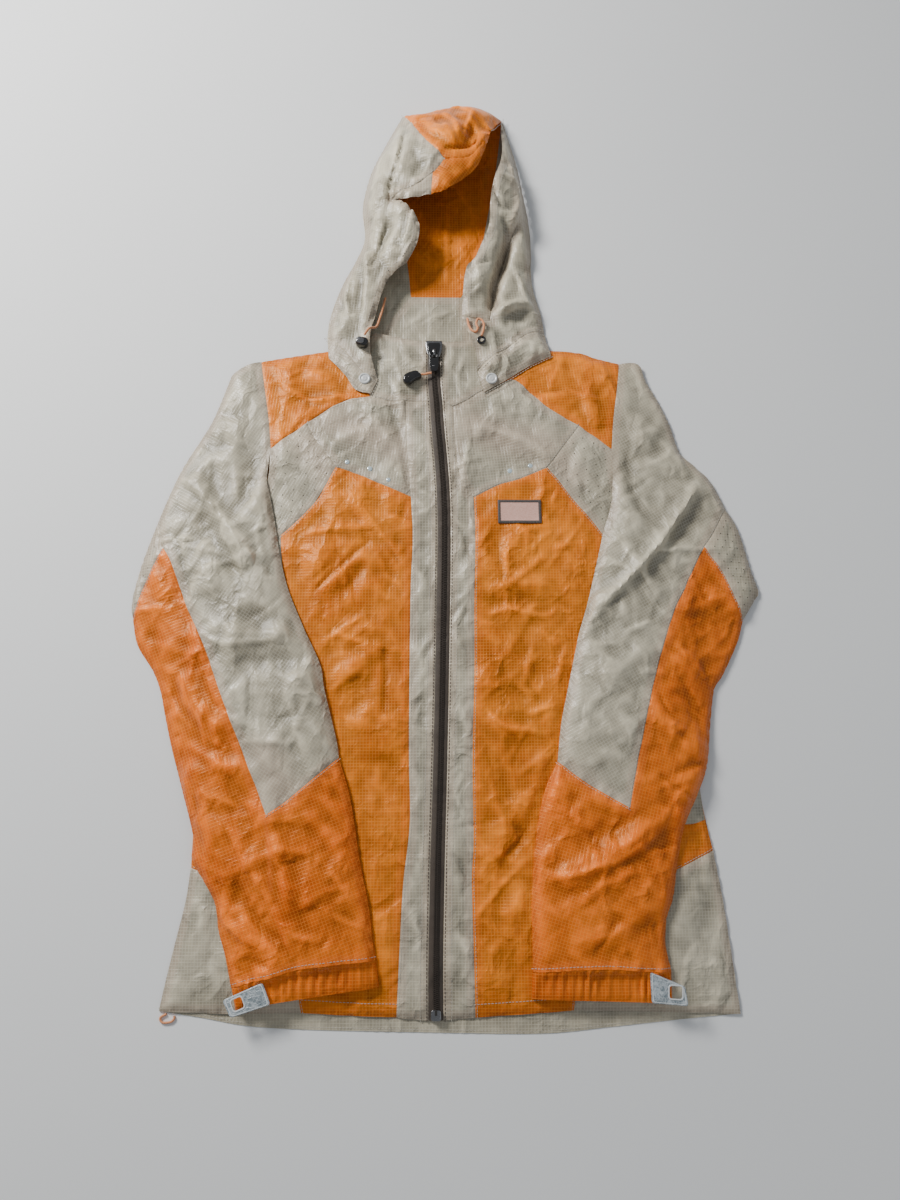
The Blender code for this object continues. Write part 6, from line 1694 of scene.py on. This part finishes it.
def instancer(name, sizes, material):
    """A tree that sets a copy of one small shape at each point, or at every pitch along each line.

    With a Pitch the copies are boxes turned to their line, and otherwise cylinders that stand along the
    points' own up attribute. Returns the tree, and the value of each of its inputs by the input's socket.
    """
    tree = bpy.data.node_groups.new(name, "GeometryNodeTree")
    tree.interface.new_socket("Geometry", in_out="INPUT", socket_type="NodeSocketGeometry")
    values = {}
    for label, value in sizes.items():
        socket = tree.interface.new_socket(label, in_out="INPUT", socket_type="NodeSocketFloat")
        socket.subtype = "DISTANCE"
        values[socket.identifier] = value
    tree.interface.new_socket("Geometry", in_out="OUTPUT", socket_type="NodeSocketGeometry")
    given, place, real, paint, out = (tree.nodes.new(kind) for kind in (
        "NodeGroupInput", "GeometryNodeInstanceOnPoints", "GeometryNodeRealizeInstances",
        "GeometryNodeSetMaterial", "NodeGroupOutput"))

    def join(start, output, end, entry):
        tree.links.new(start.outputs[output], end.inputs[entry])

    if "Pitch" in sizes:
        spaced, stamp, size = (tree.nodes.new(kind) for kind in (
            "GeometryNodeCurveToPoints", "GeometryNodeMeshCube", "ShaderNodeCombineXYZ"))
        spaced.mode = "LENGTH"
        join(given, "Geometry", spaced, "Curve")
        join(given, "Pitch", spaced, "Length")
        join(spaced, "Points", place, "Points")
        join(spaced, "Rotation", place, "Rotation")
        for axis, label in enumerate(("Across", "Height", "Along")):
            join(given, label, size, axis)
        join(size, 0, stamp, "Size")
    else:
        upright, align, stamp = (tree.nodes.new(kind) for kind in (
            "GeometryNodeInputNamedAttribute", "FunctionNodeAlignRotationToVector",
            "GeometryNodeMeshCylinder"))
        upright.data_type = "FLOAT_VECTOR"
        upright.inputs["Name"].default_value = "up"
        stamp.inputs["Vertices"].default_value = 8
        join(upright, "Attribute", align, "Vector")
        join(align, "Rotation", place, "Rotation")
        join(given, "Geometry", place, "Points")
        join(given, "Radius", stamp, "Radius")
        join(given, "Height", stamp, "Depth")
    join(stamp, "Mesh", place, "Instance")
    join(place, "Instances", real, "Geometry")
    join(real, "Geometry", paint, "Geometry")
    join(paint, "Geometry", out, "Geometry")
    paint.inputs["Material"].default_value = MATERIAL[material]
    return tree, values


def repeated(name, data, sizes, material):
    """Sets copies of a small shape on points or lines, and keeps the result as a plain mesh."""
    base = linked(f"{name}_places", data)
    modifier = base.modifiers.new("copies", "NODES")
    modifier.node_group, values = instancer(f"{name}_copies", sizes, material)
    for identifier, value in values.items():
        modifier[identifier] = value
    bpy.context.view_layer.update()
    graph = bpy.context.evaluated_depsgraph_get()
    mesh = bpy.data.meshes.new_from_object(base.evaluated_get(graph), depsgraph=graph)
    bpy.data.objects.remove(base)
    mesh.name = name
    declared(linked(name, mesh))


def curve_of(lines):
    data = bpy.data.curves.new("lines", "CURVE")
    data.dimensions = "3D"
    data.twist_mode = "Z_UP"
    for line in lines:
        spline = data.splines.new("POLY")
        spline.points.add(len(line) - 1)
        for point, at in zip(spline.points, line * MM):
            point.co = (*at, 1)
    return data


def make_stitches(lies):
    """Pale stitches beside the seams, and stronger dark ones next to the zip."""
    lines, dark = [], []
    for layer, runs in STITCHED.items():
        for name, gaps in runs:
            for gap in gaps:
                plan = to_left(smooth(CURVES[name], 4.0), gap)
                line = np.column_stack([plan, read(lies[layer], *plan.T) + WALL / 2 + 0.02])
                (dark if name.startswith("zip") and abs(gap) < 3 else lines).append(line)
    repeated("pale_stitches", curve_of(lines), STITCH, "thread")
    repeated("zip_stitches", curve_of(dark), ZIP_STITCH, "dark_thread")


def make_teeth(lies):
    """Two rows of teeth that mesh along the middle of the tape, up to the slider."""
    line = np.vstack([smooth(CURVES["zip_low"], 3), smooth(CURVES["zip_top"], 3)[1:]])
    line = line[(line[:, 1] > TEETH_FROM) & (line[:, 1] < TEETH_TO)]
    way = unit(np.gradient(line, axis=0))
    rows = []
    for side, shift in TEETH_ROWS:
        plan = to_left(line, side) + way * shift
        rows.append(np.column_stack([plan, read(lies["front"], *plan.T) + WALL / 2 + 0.45]))
    repeated("zip_teeth", curve_of(rows), TOOTH, "teeth")


def make_holes(lies):
    """The vents' staggered rows of small holes, each set square to the cloth."""
    places, ups = [], []
    i, j = np.meshgrid(np.arange(-14, 15), np.arange(-14, 15))
    for piece, (pitch, turn) in VENTED.items():
        layer, _, _, names = PIECES[piece]
        loop, height = outline(names, 5), lies[layer]
        middle = (loop.min(axis=0) + loop.max(axis=0)) / 2
        c, s = math.cos(math.radians(turn)), math.sin(math.radians(turn))
        u, v = (i + 0.5 * (j % 2)) * pitch, j * pitch * 0.8
        x, y = middle[0] + u * c - v * s, middle[1] + u * s + v * c
        kept = inside(x, y, loop) & (nearest(x, y, closed(loop))[0] > 5)
        x, y = x[kept], y[kept]
        fall = [(read(height, x - a, y - b) - read(height, x + a, y + b)) / 2 for a, b in ((1, 0), (0, 1))]
        places.append(np.column_stack([x, y, read(height, x, y) + WALL / 2]))
        ups.append(np.column_stack([*fall, np.ones_like(x)]))
    mesh = bpy.data.meshes.new("hole_places")
    mesh.from_pydata((np.vstack(places) * MM).tolist(), [], [])
    up = mesh.attributes.new("up", "FLOAT_VECTOR", "POINT")
    up.data.foreach_set("vector", np.vstack(ups).astype(np.float32).ravel())
    # each hole is a near-black disk of painted shade
    repeated("vent_holes", mesh, PERFORATION, "hole")


MATERIAL = make_materials()
set_up_camera()
make_cords()
set_up_studio()
layers, lies = lay_the_layers()
for layer in layers.values():
    layer.make_cloths()
for side in "lr":
    make_cuff(side, lies)
make_snaps()
make_slider()
make_toggle()
make_cord_lock()
make_eyelet()
make_zip_box()
make_cuff_tabs()
make_patch(lies)
make_dots(lies)
make_teeth(lies)
make_stitches(lies)
make_holes(lies)
